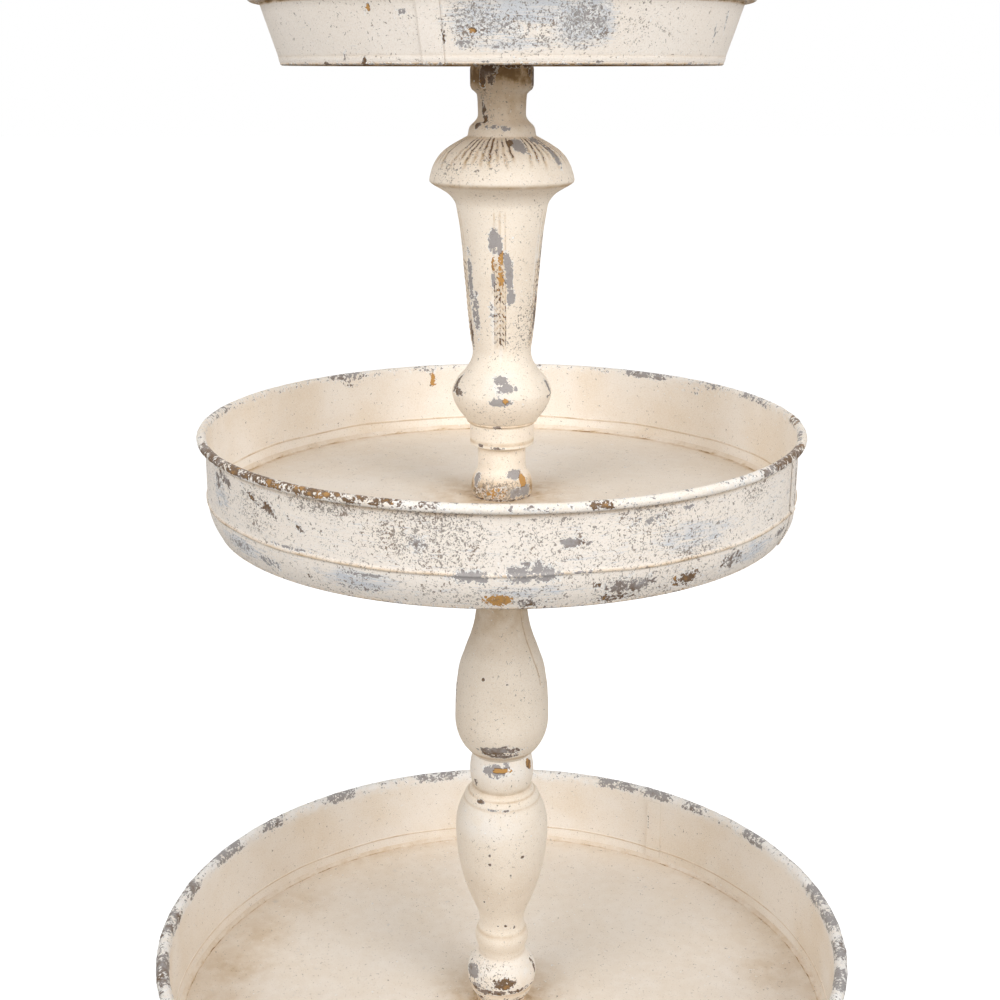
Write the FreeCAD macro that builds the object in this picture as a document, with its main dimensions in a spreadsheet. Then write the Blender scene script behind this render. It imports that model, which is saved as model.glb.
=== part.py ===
import FreeCAD, Part
import math
import os
import Sketcher

doc = FreeCAD.newDocument("tiered_table")
sheet = doc.addObject("Spreadsheet::Sheet", "sizes")

# Every size in millimetres, angles in degrees, shares as plain fractions
size_rows = [
    # sheet metal common to the three trays
    ("sheet_thickness", 1.2),
    ("flange_depth", 4.0),
    ("floor_clearance", 0.1),
    ("wire_clearance", 0.6),
    ("seam_lap_angle", 4.0),
    ("seam_top_gap", 8.0),
    ("quarter_turn_angle", 90.0),
    ("half_turn_angle", 180.0),
    ("seat_depth", 1.0),
    ("seat_clearance", 1.5),
    # top tray, flared
    ("top_rim_radius", 190.8),
    ("top_wall_lean", 16.8),
    ("top_crease_step", 2.4),
    ("top_crease_height", 6.0),
    ("top_rim_height", 49.3),
    ("top_bead_radius", 4.6),
    ("top_floor_height", 5.5),
    ("top_seam_angle", -103.0),
    # middle tray, upright
    ("middle_rim_radius", 244.8),
    ("middle_wall_lean", 9.1),
    ("middle_crease_step", 9.0),
    ("middle_crease_height", 27.0),
    ("middle_rim_height", 74.5),
    ("middle_bead_radius", 3.7),
    ("middle_floor_height", 15.5),
    ("middle_seam_angle", -13.0),
    # bottom tray, upright and widest: its rim sets the width of the whole table
    ("bottom_rim_radius", 305.0),
    ("bottom_wall_lean", 10.0),
    ("bottom_crease_step", 9.9),
    ("bottom_crease_height", 33.0),
    ("bottom_rim_height", 93.5),
    ("bottom_bead_radius", 5.5),
    ("bottom_floor_height", 20.0),
    ("bottom_seam_angle", 58.0),
    # upper post, from its foot to its collar
    ("upper_post_length", 343.8),
    ("upper_heel_radius", 23.4),
    ("upper_foot_radius", 24.4),
    ("upper_foot_height", 14.0),
    ("upper_foot_bulge_share", 0.08),
    ("upper_ankle_radius", 19.4),
    ("upper_ankle_rise", 13.0),
    ("upper_ankle_turn_share", 0.5),
    ("upper_ankle_height", 15.0),
    ("upper_drum_radius", 26.0),
    ("upper_drum_step", 3.2),
    ("upper_drum_height", 16.8),
    ("upper_bulb_radius", 39.7),
    ("upper_bulb_rise", 25.4),
    ("upper_waist_radius", 22.9),
    ("upper_bulb_fall", 34.0),
    ("upper_bulb_turn_share", 0.5),
    ("upper_taper_radius", 34.8),
    ("upper_taper_bulge_share", 0.008),
    ("upper_cove_radius", 50.2),
    ("upper_cove_height_share", 1.1),
    ("upper_lip_step", 6.8),
    ("upper_lip_height", 7.0),
    ("upper_dome_radius", 27.2),
    ("upper_dome_height", 32.6),
    ("upper_dome_bulge_share", 0.12),
    ("upper_brow_radius", 26.0),
    ("upper_brow_height", 2.4),
    ("upper_throat_radius", 18.2),
    ("upper_throat_fall", 14.0),
    ("upper_throat_turn_share", 0.5),
    ("upper_neck_radius", 18.4),
    ("upper_neck_height", 12.6),
    ("upper_collar_radius", 23.7),
    ("upper_collar_rise", 8.1),
    ("upper_collar_turn_share", 0.5),
    ("upper_collar_height", 18.1),
    # lower post, from its foot to its collar
    ("lower_post_length", 479.8),
    ("lower_heel_radius", 22.6),
    ("lower_foot_radius", 21.0),
    ("lower_foot_height", 6.0),
    ("lower_ball_radius", 30.4),
    ("lower_ball_rise", 22.0),
    ("lower_ankle_radius", 20.5),
    ("lower_ball_fall", 24.0),
    ("lower_shin_radius", 20.4),
    ("lower_shin_height", 6.0),
    ("lower_ring_radius", 20.3),
    ("lower_ring_height", 21.0),
    ("lower_ring_bulge_share", 0.09),
    ("lower_stem_radius", 19.6),
    ("lower_stem_height", 2.0),
    ("lower_vase_radius", 40.0),
    ("lower_vase_rise", 97.0),
    ("lower_vase_turn_share", 0.2),
    ("lower_shoulder_radius", 25.0),
    ("lower_shoulder_fall", 40.0),
    ("lower_band_radius", 24.8),
    ("lower_band_height", 31.5),
    ("lower_band_bulge_share", 0.09),
    ("lower_pear_radius", 40.2),
    ("lower_pear_rise", 34.0),
    ("lower_throat_radius", 20.2),
    ("lower_throat_turn_share", 0.71),
    ("lower_gorge_radius", 20.1),
    ("lower_gorge_height", 8.0),
    ("lower_knop_radius", 20.0),
    ("lower_knop_height", 20.0),
    ("lower_knop_bulge_share", 0.2),
    ("lower_neck_radius", 19.9),
    ("lower_neck_height", 10.0),
    ("lower_collar_radius", 26.0),
    ("lower_collar_rise", 10.0),
    ("lower_collar_turn_share", 0.5),
    ("lower_collar_height", 40.0),
    # rod, washers and nuts
    ("rod_radius", 5.0),
    ("rod_tail", 2.0),
    ("rod_reach", 10.0),
    ("bore_radius", 5.6),
    ("washer_radius", 18.0),
    ("washer_thickness", 2.0),
    ("nut_corner_radius", 9.8),
    ("nut_height", 8.0),
    ("dome_hex_height", 6.5),
    ("dome_radius", 8.2),
    ("dome_height", 8.5),
    ("dome_bore_depth", 11.0),
    # feet
    ("foot_height", 69.8),
    ("foot_inset", 82.0),
    ("foot_first_angle", 45.0),
    ("foot_pad_radius", 14.0),
    ("foot_pad_height", 5.0),
    ("foot_belly_radius", 25.0),
    ("foot_belly_rise", 19.0),
    ("foot_waist_radius", 16.0),
    ("foot_belly_fall", 20.0),
    ("foot_belly_turn_share", 0.6),
    ("foot_collar_radius", 22.0),
    ("foot_collar_rise", 6.0),
    ("foot_collar_turn_share", 0.5),
    ("foot_plate_radius", 21.0),
    ("foot_plate_thickness", 3.0),
    ("foot_bolt_radius", 4.0),
    ("foot_bolt_reach", 30.0),
]
for row, (alias, value) in enumerate(size_rows, start=1):
    sheet.set("A%d" % row, alias)
    sheet.set("B%d" % row, str(value))
    sheet.setAlias("B%d" % row, alias)
doc.recompute()


def size(alias):
    return "sizes.%s" % alias


def total(*terms):
    return "(%s)" % " + ".join(terms)


def less(first, *terms):
    return "(%s)" % " - ".join((first,) + terms)


# Levels of the three floors, measured at their upper faces, and of the seats pressed into them
bottom_level = total(size("foot_height"), size("foot_plate_thickness"), size("sheet_thickness"))
middle_level = total(bottom_level, size("lower_post_length"), size("sheet_thickness"))
top_level = total(middle_level, size("upper_post_length"), size("sheet_thickness"))
bottom_seat = less(bottom_level, size("seat_depth"))
middle_seat = less(middle_level, size("seat_depth"))
top_seat = less(top_level, size("seat_depth"))


def origin_feature(body, role):
    for feature in body.Origin.OriginFeatures:
        if feature.Role == role:
            return feature
    raise RuntimeError("no origin feature " + role)


def new_body(label, level=None):
    body = doc.addObject("PartDesign::Body", label)
    body.Label = label
    if level is not None:
        body.setExpression("Placement.Base.z", level)
    return body


def new_sketch(body, name, role):
    sketch = body.newObject("Sketcher::SketchObject", name)
    sketch.AttachmentSupport = [(origin_feature(body, role), "")]
    sketch.MapMode = "FlatFace"
    return sketch


# One corner of an outline: how the outline gets there, its radius and height,
# and for a curve the radius of the arc and whether its centre lies to the left
def line_to(radius, height):
    return (radius, height, None, True)


def arc_to(radius, height, curve, centre_left):
    return (radius, height, curve, centre_left)


def square_sum(start, end):
    return "((%s - %s)^2 + (%s - %s)^2)" % (end[0], start[0], end[1], start[1])


def arc_centre(start, end, curve, centre_left):
    mid_x = (start[0] + end[0]) / 2
    mid_y = (start[1] + end[1]) / 2
    run = end[0] - start[0]
    rise = end[1] - start[1]
    chord = math.hypot(run, rise)
    away = math.sqrt(max(curve * curve - chord * chord / 4, 0))
    side = 1 if centre_left else -1
    return (mid_x - side * away * rise / chord, mid_y + side * away * run / chord)


def draw_outline(sketch, corners):
    flat = FreeCAD.Vector(0, 0, 1)
    places = [(float(sketch.evalExpression(c[0])), float(sketch.evalExpression(c[1]))) for c in corners]
    ends = []
    for index, corner in enumerate(corners):
        start = places[index - 1]
        end = places[index]
        first = FreeCAD.Vector(start[0], start[1], 0)
        last = FreeCAD.Vector(end[0], end[1], 0)
        if corner[2] is None:
            edge = sketch.addGeometry(Part.LineSegment(first, last), False)
            ends.append((edge, 1, 2))
            continue
        curve = float(sketch.evalExpression(corner[2]))
        centre = arc_centre(start, end, curve, corner[3])
        begin_angle = math.atan2(start[1] - centre[1], start[0] - centre[0])
        end_angle = math.atan2(end[1] - centre[1], end[0] - centre[0])
        if not corner[3]:
            begin_angle, end_angle = end_angle, begin_angle
        circle = Part.Circle(FreeCAD.Vector(centre[0], centre[1], 0), flat, curve)
        edge = sketch.addGeometry(Part.ArcOfCircle(circle, begin_angle, end_angle), False)
        ends.append((edge, 1, 2) if corner[3] else (edge, 2, 1))
    for index, (edge, begin, finish) in enumerate(ends):
        before = ends[index - 1]
        sketch.addConstraint(Sketcher.Constraint("Coincident", before[0], before[2], edge, begin))
        radius, height, curve, centre_left = corners[index]
        pin(sketch, "DistanceX", edge, finish, radius, places[index][0], -2)
        pin(sketch, "DistanceY", edge, finish, height, places[index][1], -1)
        if curve is not None:
            value = float(sketch.evalExpression(curve))
            number = sketch.addConstraint(Sketcher.Constraint("Radius", edge, value))
            sketch.setExpression("Constraints[%d]" % number, curve)


def pin(sketch, kind, edge, end, text, value, axis):
    if text == "0":
        sketch.addConstraint(Sketcher.Constraint("PointOnObject", edge, end, axis))
        return
    number = sketch.addConstraint(Sketcher.Constraint(kind, -1, 1, edge, end, value))
    sketch.setExpression("Constraints[%d]" % number, text)


def revolve(body, name, corners, angle=None, plane="XZ_Plane"):
    sketch = new_sketch(body, name + "_outline", plane)
    draw_outline(sketch, corners)
    turned = body.newObject("PartDesign::Revolution", name)
    turned.Profile = sketch
    turned.ReferenceAxis = (sketch, ["V_Axis"])
    turned.Angle = 360
    if angle is not None:
        turned.Midplane = True
        turned.setExpression("Angle", angle)
    sketch.Visibility = False
    doc.recompute()
    return turned


# Turning a post: each step is a shape, the radius it reaches and the height it climbs.
# A radius is a named size or is worked out from other sizes.
def turning(start_radius, steps):
    sample = {alias: value for alias, value in size_rows}
    corners = []
    here = (size(start_radius), "0")
    width = sample[start_radius]
    for step in steps:
        shape, reached, climb = step[:3]
        there = (size(reached) if reached in sample else reached, total(here[1], climb))
        wider = sample.get(reached, width) > width
        run = "abs(%s - %s)" % (there[0], here[0])
        if shape == "line":
            corners.append(line_to(*there))
        elif shape == "swell":
            corners.append(arc_to(*there, "%s / (2 * %s)" % (square_sum(here, there), run), True))
        elif shape == "cove":
            corners.append(arc_to(*there, "%s / (2 * %s)" % (square_sum(here, there), run), False))
        elif shape == "bulge":
            share = size(step[3])
            bow = "sqrt(%s) * (%s / 2 + 1 / (8 * %s))" % (square_sum(here, there), share, share)
            corners.append(arc_to(*there, bow, True))
        else:
            share = size(step[3])
            turn = tuple("(%s + %s * (%s - %s))" % (a, share, b, a) for a, b in zip(here, there))
            whole = "%s / (2 * %s)" % (square_sum(here, there), run)
            corners.append(arc_to(*turn, "%s * %s" % (share, whole), not wider))
            corners.append(arc_to(*there, "(1 - %s) * %s" % (share, whole), wider))
        here = there
        width = sample.get(reached, width)
    return corners


def bored_post(label, level, length, start_radius, steps):
    body = new_body(label, level)
    bore = size("bore_radius")
    corners = [line_to(bore, "0"), line_to(size(start_radius), "0")]
    corners += turning(start_radius, steps)
    corners.append(line_to(bore, size(length)))
    revolve(body, label + "_turning", corners)


# Upper post: the cove under the cap keeps its proportion, the lip stands out from the cove,
# and the long taper takes up whatever length the other members leave
upper_cove = "(%s * (%s - %s))" % (
    size("upper_cove_height_share"), size("upper_cove_radius"), size("upper_taper_radius"))
upper_lip = total(size("upper_cove_radius"), size("upper_lip_step"))
upper_below = ["foot_height", "ankle_rise", "ankle_height", "drum_step", "drum_height", "bulb_rise",
               "bulb_fall"]
upper_above = ["lip_height", "dome_height", "brow_height", "throat_fall", "neck_height", "collar_rise",
               "collar_height"]
upper_members = [size("upper_" + part) for part in upper_below + upper_above]
upper_taper = less(size("upper_post_length"), upper_cove, *upper_members)
bored_post("upper_post", middle_seat, "upper_post_length", "upper_heel_radius", [
    ("bulge", "upper_foot_radius", size("upper_foot_height"), "upper_foot_bulge_share"),
    ("ogee", "upper_ankle_radius", size("upper_ankle_rise"), "upper_ankle_turn_share"),
    ("line", "upper_ankle_radius", size("upper_ankle_height")),
    ("line", "upper_drum_radius", size("upper_drum_step")),
    ("line", "upper_drum_radius", size("upper_drum_height")),
    ("swell", "upper_bulb_radius", size("upper_bulb_rise")),
    ("ogee", "upper_waist_radius", size("upper_bulb_fall"), "upper_bulb_turn_share"),
    ("bulge", "upper_taper_radius", upper_taper, "upper_taper_bulge_share"),
    ("cove", "upper_cove_radius", upper_cove),
    ("swell", upper_lip, size("upper_lip_height")),
    ("bulge", "upper_dome_radius", size("upper_dome_height"), "upper_dome_bulge_share"),
    ("line", "upper_brow_radius", size("upper_brow_height")),
    ("ogee", "upper_throat_radius", size("upper_throat_fall"), "upper_throat_turn_share"),
    ("line", "upper_neck_radius", size("upper_neck_height")),
    ("ogee", "upper_collar_radius", size("upper_collar_rise"), "upper_collar_turn_share"),
    ("line", "upper_collar_radius", size("upper_collar_height")),
])

# Lower post: the long pear takes up whatever length the other members leave
lower_below = ["foot_height", "ball_rise", "ball_fall", "shin_height", "ring_height", "stem_height",
               "vase_rise", "shoulder_fall", "band_height", "pear_rise"]
lower_above = ["gorge_height", "knop_height", "neck_height", "collar_rise", "collar_height"]
lower_members = [size("lower_" + part) for part in lower_below + lower_above]
lower_pear = less(size("lower_post_length"), *lower_members)
bored_post("lower_post", bottom_seat, "lower_post_length", "lower_heel_radius", [
    ("line", "lower_foot_radius", size("lower_foot_height")),
    ("swell", "lower_ball_radius", size("lower_ball_rise")),
    ("swell", "lower_ankle_radius", size("lower_ball_fall")),
    ("line", "lower_shin_radius", size("lower_shin_height")),
    ("bulge", "lower_ring_radius", size("lower_ring_height"), "lower_ring_bulge_share"),
    ("line", "lower_stem_radius", size("lower_stem_height")),
    ("ogee", "lower_vase_radius", size("lower_vase_rise"), "lower_vase_turn_share"),
    ("swell", "lower_shoulder_radius", size("lower_shoulder_fall")),
    ("bulge", "lower_band_radius", size("lower_band_height"), "lower_band_bulge_share"),
    ("swell", "lower_pear_radius", size("lower_pear_rise")),
    ("ogee", "lower_throat_radius", lower_pear, "lower_throat_turn_share"),
    ("line", "lower_gorge_radius", size("lower_gorge_height")),
    ("bulge", "lower_knop_radius", size("lower_knop_height"), "lower_knop_bulge_share"),
    ("line", "lower_neck_radius", size("lower_neck_height")),
    ("ogee", "lower_collar_radius", size("lower_collar_rise"), "lower_collar_turn_share"),
    ("line", "lower_collar_radius", size("lower_collar_height")),
])


# A tray: a wall of one strip or two, lapped at each seam, rounded in below its crease and rolled round
# a wire at its top edge, and a floor with a shallow seat in its middle and a flange that follows the wall
def tray(name, floor_level, seated_radius, strips):
    thick = size("sheet_thickness")
    rim = size(name + "_rim_height")
    bead = size(name + "_bead_radius")
    outer = size(name + "_rim_radius")
    middle = less(outer, bead)
    inner = less(middle, bead)
    wall = total(inner, thick)
    base = less(wall, size(name + "_wall_lean"))
    step = size(name + "_crease_step")
    crease = total(base, step)
    crease_top = size(name + "_crease_height")
    bend = "((%s^2 + %s^2) / (2 * %s))" % (step, crease_top, step)
    level = less(floor_level, size(name + "_floor_height"))
    under = less(rim, bead)
    curl = less(bead, thick)
    share = "(%s - %s - %s) / (%s - %s)" % (rim, size("seam_top_gap"), crease_top, rim, crease_top)
    seam_radius = "(%s + %s * (%s - %s))" % (crease, share, wall, crease)
    seam_top = less(rim, size("seam_top_gap"))

    for label, turn, sweep, lap_plane in strips:
        body = new_body(label, level)
        body.setExpression("Placement.Rotation.Angle", turn)
        revolve(body, label + "_strip", [
            arc_to(less(base, thick), "0", bend, False),
            line_to(base, "0"),
            arc_to(crease, crease_top, bend, True),
            line_to(wall, rim),
            arc_to(middle, total(rim, curl), curl, False),
            arc_to(less(outer, thick), rim, curl, False),
            arc_to(middle, total(under, thick), curl, False),
            line_to(middle, under),
            arc_to(outer, rim, bead, True),
            arc_to(middle, total(rim, bead), bead, True),
            arc_to(inner, rim, bead, True),
            line_to(less(crease, thick), crease_top),
        ], sweep)
        revolve(body, label + "_lap", [
            arc_to(base, "0", bend, False),
            line_to(total(base, thick), "0"),
            arc_to(total(crease, thick), crease_top, bend, True),
            line_to(total(seam_radius, thick), seam_top),
            line_to(seam_radius, seam_top),
            line_to(crease, crease_top),
        ], size("seam_lap_angle"), lap_plane)

    wire = less(curl, size("wire_clearance"))
    body = new_body(name + "_tray_rim_wire", level)
    sketch = new_sketch(body, name + "_wire_section", "XZ_Plane")
    middle_now = float(sketch.evalExpression(middle))
    rim_now = float(sketch.evalExpression(rim))
    wire_now = float(sketch.evalExpression(wire))
    centre = FreeCAD.Vector(middle_now, rim_now, 0)
    edge = sketch.addGeometry(Part.Circle(centre, FreeCAD.Vector(0, 0, 1), wire_now), False)
    pin(sketch, "DistanceX", edge, 3, middle, middle_now, -2)
    pin(sketch, "DistanceY", edge, 3, rim, rim_now, -1)
    number = sketch.addConstraint(Sketcher.Constraint("Radius", edge, wire_now))
    sketch.setExpression("Constraints[%d]" % number, wire)
    ring = body.newObject("PartDesign::Revolution", name + "_wire")
    ring.Profile = sketch
    ring.ReferenceAxis = (sketch, ["V_Axis"])
    ring.Angle = 360
    sketch.Visibility = False
    doc.recompute()

    depth = size("flange_depth")
    pan = total(thick, depth)
    floor_top = size(name + "_floor_height")
    hollow = less(crease, thick, size("floor_clearance"), bend)
    high, low = ["(%s + sqrt(%s^2 - (%s - %s)^2))" % (hollow, bend, crease_top, height)
                 for height in (floor_top, less(floor_top, pan))]
    inside = "(%s + (%s - %s) * %s / %s - %s)" % (low, high, low, depth, pan, thick)
    seat_radius = total(seated_radius, size("seat_clearance"))
    seat_top = less(pan, size("seat_depth"))
    body = new_body(name + "_tray_floor", less(floor_level, pan))
    revolve(body, name + "_pan", [
        line_to(less(low, thick), "0"),
        line_to(low, "0"),
        line_to(high, pan),
        line_to(seat_radius, pan),
        line_to(seat_radius, seat_top),
        line_to(size("bore_radius"), seat_top),
        line_to(size("bore_radius"), less(seat_top, thick)),
        line_to(total(seat_radius, thick), less(seat_top, thick)),
        line_to(total(seat_radius, thick), depth),
        line_to(inside, depth),
    ])


# The two smaller walls are one strip each, the long bottom wall is two strips with seams opposite each other
quarter_turn = size("quarter_turn_angle")
half_turn = size("half_turn_angle")
bottom_seam = size("bottom_seam_angle")
tray("top", top_level, size("upper_collar_radius"), [
    ("top_tray_wall", size("top_seam_angle"), None, "XZ_Plane"),
])
tray("middle", middle_level, size("upper_heel_radius"), [
    ("middle_tray_wall", size("middle_seam_angle"), None, "XZ_Plane"),
])
tray("bottom", bottom_level, size("lower_heel_radius"), [
    ("bottom_tray_wall_right", less(bottom_seam, quarter_turn), half_turn, "YZ_Plane"),
    ("bottom_tray_wall_left", total(bottom_seam, quarter_turn), half_turn, "YZ_Plane"),
])

# Tie rod with a washer and nut at each end
floor_under = less(bottom_seat, size("sheet_thickness"))
nut_level = less(floor_under, size("washer_thickness"), size("nut_height"))
rod_start = less(nut_level, size("rod_tail"))
nut_seat = total(top_seat, size("washer_thickness"))
rod_end = total(nut_seat, size("rod_reach"))
body = new_body("tie_rod", rod_start)
rod = body.newObject("PartDesign::AdditiveCylinder", "rod")
rod.setExpression("Radius", size("rod_radius"))
rod.setExpression("Height", less(rod_end, rod_start))


def washer(label, level):
    body = new_body(label, level)
    revolve(body, label + "_ring", [
        line_to(size("bore_radius"), "0"),
        line_to(size("washer_radius"), "0"),
        line_to(size("washer_radius"), size("washer_thickness")),
        line_to(size("bore_radius"), size("washer_thickness")),
    ])


washer("top_washer", top_seat)
washer("bottom_washer", less(floor_under, size("washer_thickness")))


def nut(label, level, height, bore_depth):
    body = new_body(label, level)
    hexagon = body.newObject("PartDesign::AdditivePrism", label + "_hexagon")
    hexagon.Polygon = 6
    hexagon.setExpression("Circumradius", size("nut_corner_radius"))
    hexagon.setExpression("Height", height)
    doc.recompute()
    if label == "top_dome_nut":
        dome_top = total(height, size("dome_height"))
        half_width = size("dome_radius")
        curve = "(%s^2 + %s^2) / (2 * %s)" % (half_width, size("dome_height"), size("dome_height"))
        revolve(body, label + "_cap", [
            line_to("0", height),
            line_to(half_width, height),
            arc_to("0", dome_top, curve, True),
        ])
    hole = body.newObject("PartDesign::SubtractiveCylinder", label + "_thread")
    hole.setExpression("Radius", size("rod_radius"))
    hole.setExpression("Height", bore_depth)
    doc.recompute()


nut("top_dome_nut", nut_seat, size("dome_hex_height"), size("dome_bore_depth"))
nut("bottom_nut", nut_level, size("nut_height"), size("nut_height"))

# Four feet on welded plates, each held by a stud
foot_steps = [
    ("swell", "foot_belly_radius", size("foot_belly_rise")),
    ("ogee", "foot_waist_radius", size("foot_belly_fall"), "foot_belly_turn_share"),
    ("ogee", "foot_collar_radius", size("foot_collar_rise"), "foot_collar_turn_share"),
    ("line", "foot_collar_radius", less(size("foot_height"), size("foot_pad_height"), size("foot_belly_rise"),
                                        size("foot_belly_fall"), size("foot_collar_rise"))),
]
foot_pitch = less(size("bottom_rim_radius"), size("foot_inset"))
for number in (1, 2, 3, 4):
    corner = "(%s + %d * %s) * 1 deg" % (size("foot_first_angle"), number - 1, quarter_turn)
    across = "%s * cos(%s)" % (foot_pitch, corner)
    along = "%s * sin(%s)" % (foot_pitch, corner)
    plate_level = size("foot_height")
    bolt_level = less(plate_level, size("foot_bolt_reach"))
    foot = new_body("foot_%d" % number)
    stud = size("foot_bolt_radius")
    corners = [line_to("0", "0"), line_to(size("foot_pad_radius"), "0")]
    corners += turning("foot_pad_radius", [("line", "foot_pad_radius", size("foot_pad_height"))] + foot_steps)
    corners.append(line_to(stud, plate_level))
    corners.append(line_to(stud, bolt_level))
    corners.append(line_to("0", bolt_level))
    revolve(foot, "foot_%d_turning" % number, corners)
    plate = new_body("foot_plate_%d" % number, plate_level)
    revolve(plate, "foot_plate_%d_disc" % number, [
        line_to(stud, "0"),
        line_to(size("foot_plate_radius"), "0"),
        line_to(size("foot_plate_radius"), size("foot_plate_thickness")),
        line_to(stud, size("foot_plate_thickness")),
    ])
    bolt = new_body("foot_bolt_%d" % number, bolt_level)
    shank = bolt.newObject("PartDesign::AdditiveCylinder", "foot_bolt_%d_shank" % number)
    shank.setExpression("Radius", stud)
    shank.setExpression("Height", total(size("foot_bolt_reach"), size("foot_plate_thickness")))
    for piece in (foot, plate, bolt):
        piece.setExpression("Placement.Base.x", across)
        piece.setExpression("Placement.Base.y", along)

doc.recompute()

# Every object must be sound before anything is written
for item in doc.Objects:
    if "Invalid" in item.State or "Error" in item.State:
        raise RuntimeError("%s is %s" % (item.Label, item.State))

os.makedirs("parts", exist_ok=True)
for item in doc.Objects:
    if item.TypeId != "PartDesign::Body":
        continue
    shape = item.Shape
    if shape.isNull() or not shape.isValid() or len(shape.Solids) != 1:
        raise RuntimeError("%s has no sound solid" % item.Label)
    shape.exportStep("parts/%s.step" % item.Label)
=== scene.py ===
import functools
import math
import bpy
import numpy as np
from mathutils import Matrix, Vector


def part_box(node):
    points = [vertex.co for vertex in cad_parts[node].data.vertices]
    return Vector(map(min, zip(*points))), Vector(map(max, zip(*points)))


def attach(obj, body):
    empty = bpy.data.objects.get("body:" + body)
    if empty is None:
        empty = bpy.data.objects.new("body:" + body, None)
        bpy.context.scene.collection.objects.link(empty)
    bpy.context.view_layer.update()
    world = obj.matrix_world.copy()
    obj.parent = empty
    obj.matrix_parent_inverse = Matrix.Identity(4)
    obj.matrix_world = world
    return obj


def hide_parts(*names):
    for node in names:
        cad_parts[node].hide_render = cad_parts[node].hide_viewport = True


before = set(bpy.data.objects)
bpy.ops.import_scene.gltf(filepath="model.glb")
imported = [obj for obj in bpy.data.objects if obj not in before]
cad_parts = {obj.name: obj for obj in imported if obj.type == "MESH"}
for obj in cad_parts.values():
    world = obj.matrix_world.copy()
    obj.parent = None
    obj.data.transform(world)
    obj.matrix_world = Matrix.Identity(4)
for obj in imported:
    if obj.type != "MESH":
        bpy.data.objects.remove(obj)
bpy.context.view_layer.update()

mm = 0.001
fullTurn = 2 * math.pi

# colours of the finish, as seen on the real table
paintColours = {
    "cream": "#f0e8de",
    "creamCool": "#ebe2d8",
    "creamWood": "#f3e8d9",
    "creamFloor": "#eee4d7",
    "creamWarm": "#e9dccb",
    "creamPale": "#f6f1e9",
    "speckle": "#cdb99b",
    "undercoat": "#f3f1ee",
    "zinc": "#a19c9a",
    "zincDark": "#857e7b",
    "fleck": "#7d746c",
    "dryBrush": "#c3c8cf",
    "ochre": "#c0904f",
    # the two browns below also give the painted shade under the rims, the trays and the cap's lip
    "rustAndShadow": "#6f573f",
    "patinaAndShade": "#ba9660",
}


def linear(hexColour):
    channels = [int(hexColour[i:i + 2], 16) / 255 for i in (1, 3, 5)]
    return tuple(c / 12.92 if c < 0.04045 else ((c + 0.055) / 1.055) ** 2.4 for c in channels) + (1.0,)


def addNode(tree, kind, inputs=None, out=0, **settings):
    node = tree.nodes.new("ShaderNode" + kind)
    for key, value in settings.items():
        setattr(node, key, value)
    for key, value in (inputs or {}).items():
        if isinstance(value, bpy.types.NodeSocket):
            tree.links.new(value, node.inputs[key])
        else:
            node.inputs[key].default_value = value
    return node.outputs[out]


def newMaterial(name):
    material = bpy.data.materials.new(name)
    material.use_nodes = True
    tree = material.node_tree
    shader = tree.nodes["Principled BSDF"]
    return material, tree, shader


# Finishes

# what each point of a painted piece carries: worn through, tint of what shows there, flecks,
# dry brush, brown dirt and painted shade, cooler cream, white undercoat and one painted highlight
maskNames = ("worn", "tint", "flecks", "brush", "grime", "cool", "pale")
# noises of the paint: size in mm, detail, roughness, distortion
paintNoises = {
    "wide": (60.0, 3.0, 0.5, 0.0),
    "mottle": (11.0, 4.0, 0.6, 0.0),
    "torn": (5.5, 6.0, 0.72, 0.3),
    "fleck": (2.3, 2.0, 0.55, 1.2),
    "pin": (1.5, 1.0, 0.5, 0.6),
    "grain": (1.1, 3.0, 0.75, 0.0),
    "stroke": (15.0, 5.0, 0.68, 0.4),
}
# coat and the clouds in it, how far the grain lightens and darkens it, size of a flake in mm
sheetLook = {
    "coat": "cream", "coatCloud": "creamWarm", "grainLight": 0.6, "grainDark": 0.5, "flakeSize": 1.7,
}
floorLook = {
    "coat": "creamFloor", "coatCloud": "cream", "grainLight": 0.35, "grainDark": 0.3, "flakeSize": 2.4,
}
woodLook = {
    "coat": "creamWood", "coatCloud": "creamWarm", "grainLight": 0.55, "grainDark": 0.6, "flakeSize": 1.7,
}
strokeStretch = 12.0  # brush strokes run level, so their noise is squeezed in height
paintDepth = 0.4 * mm
steelStreak = 0.8 * mm
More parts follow.
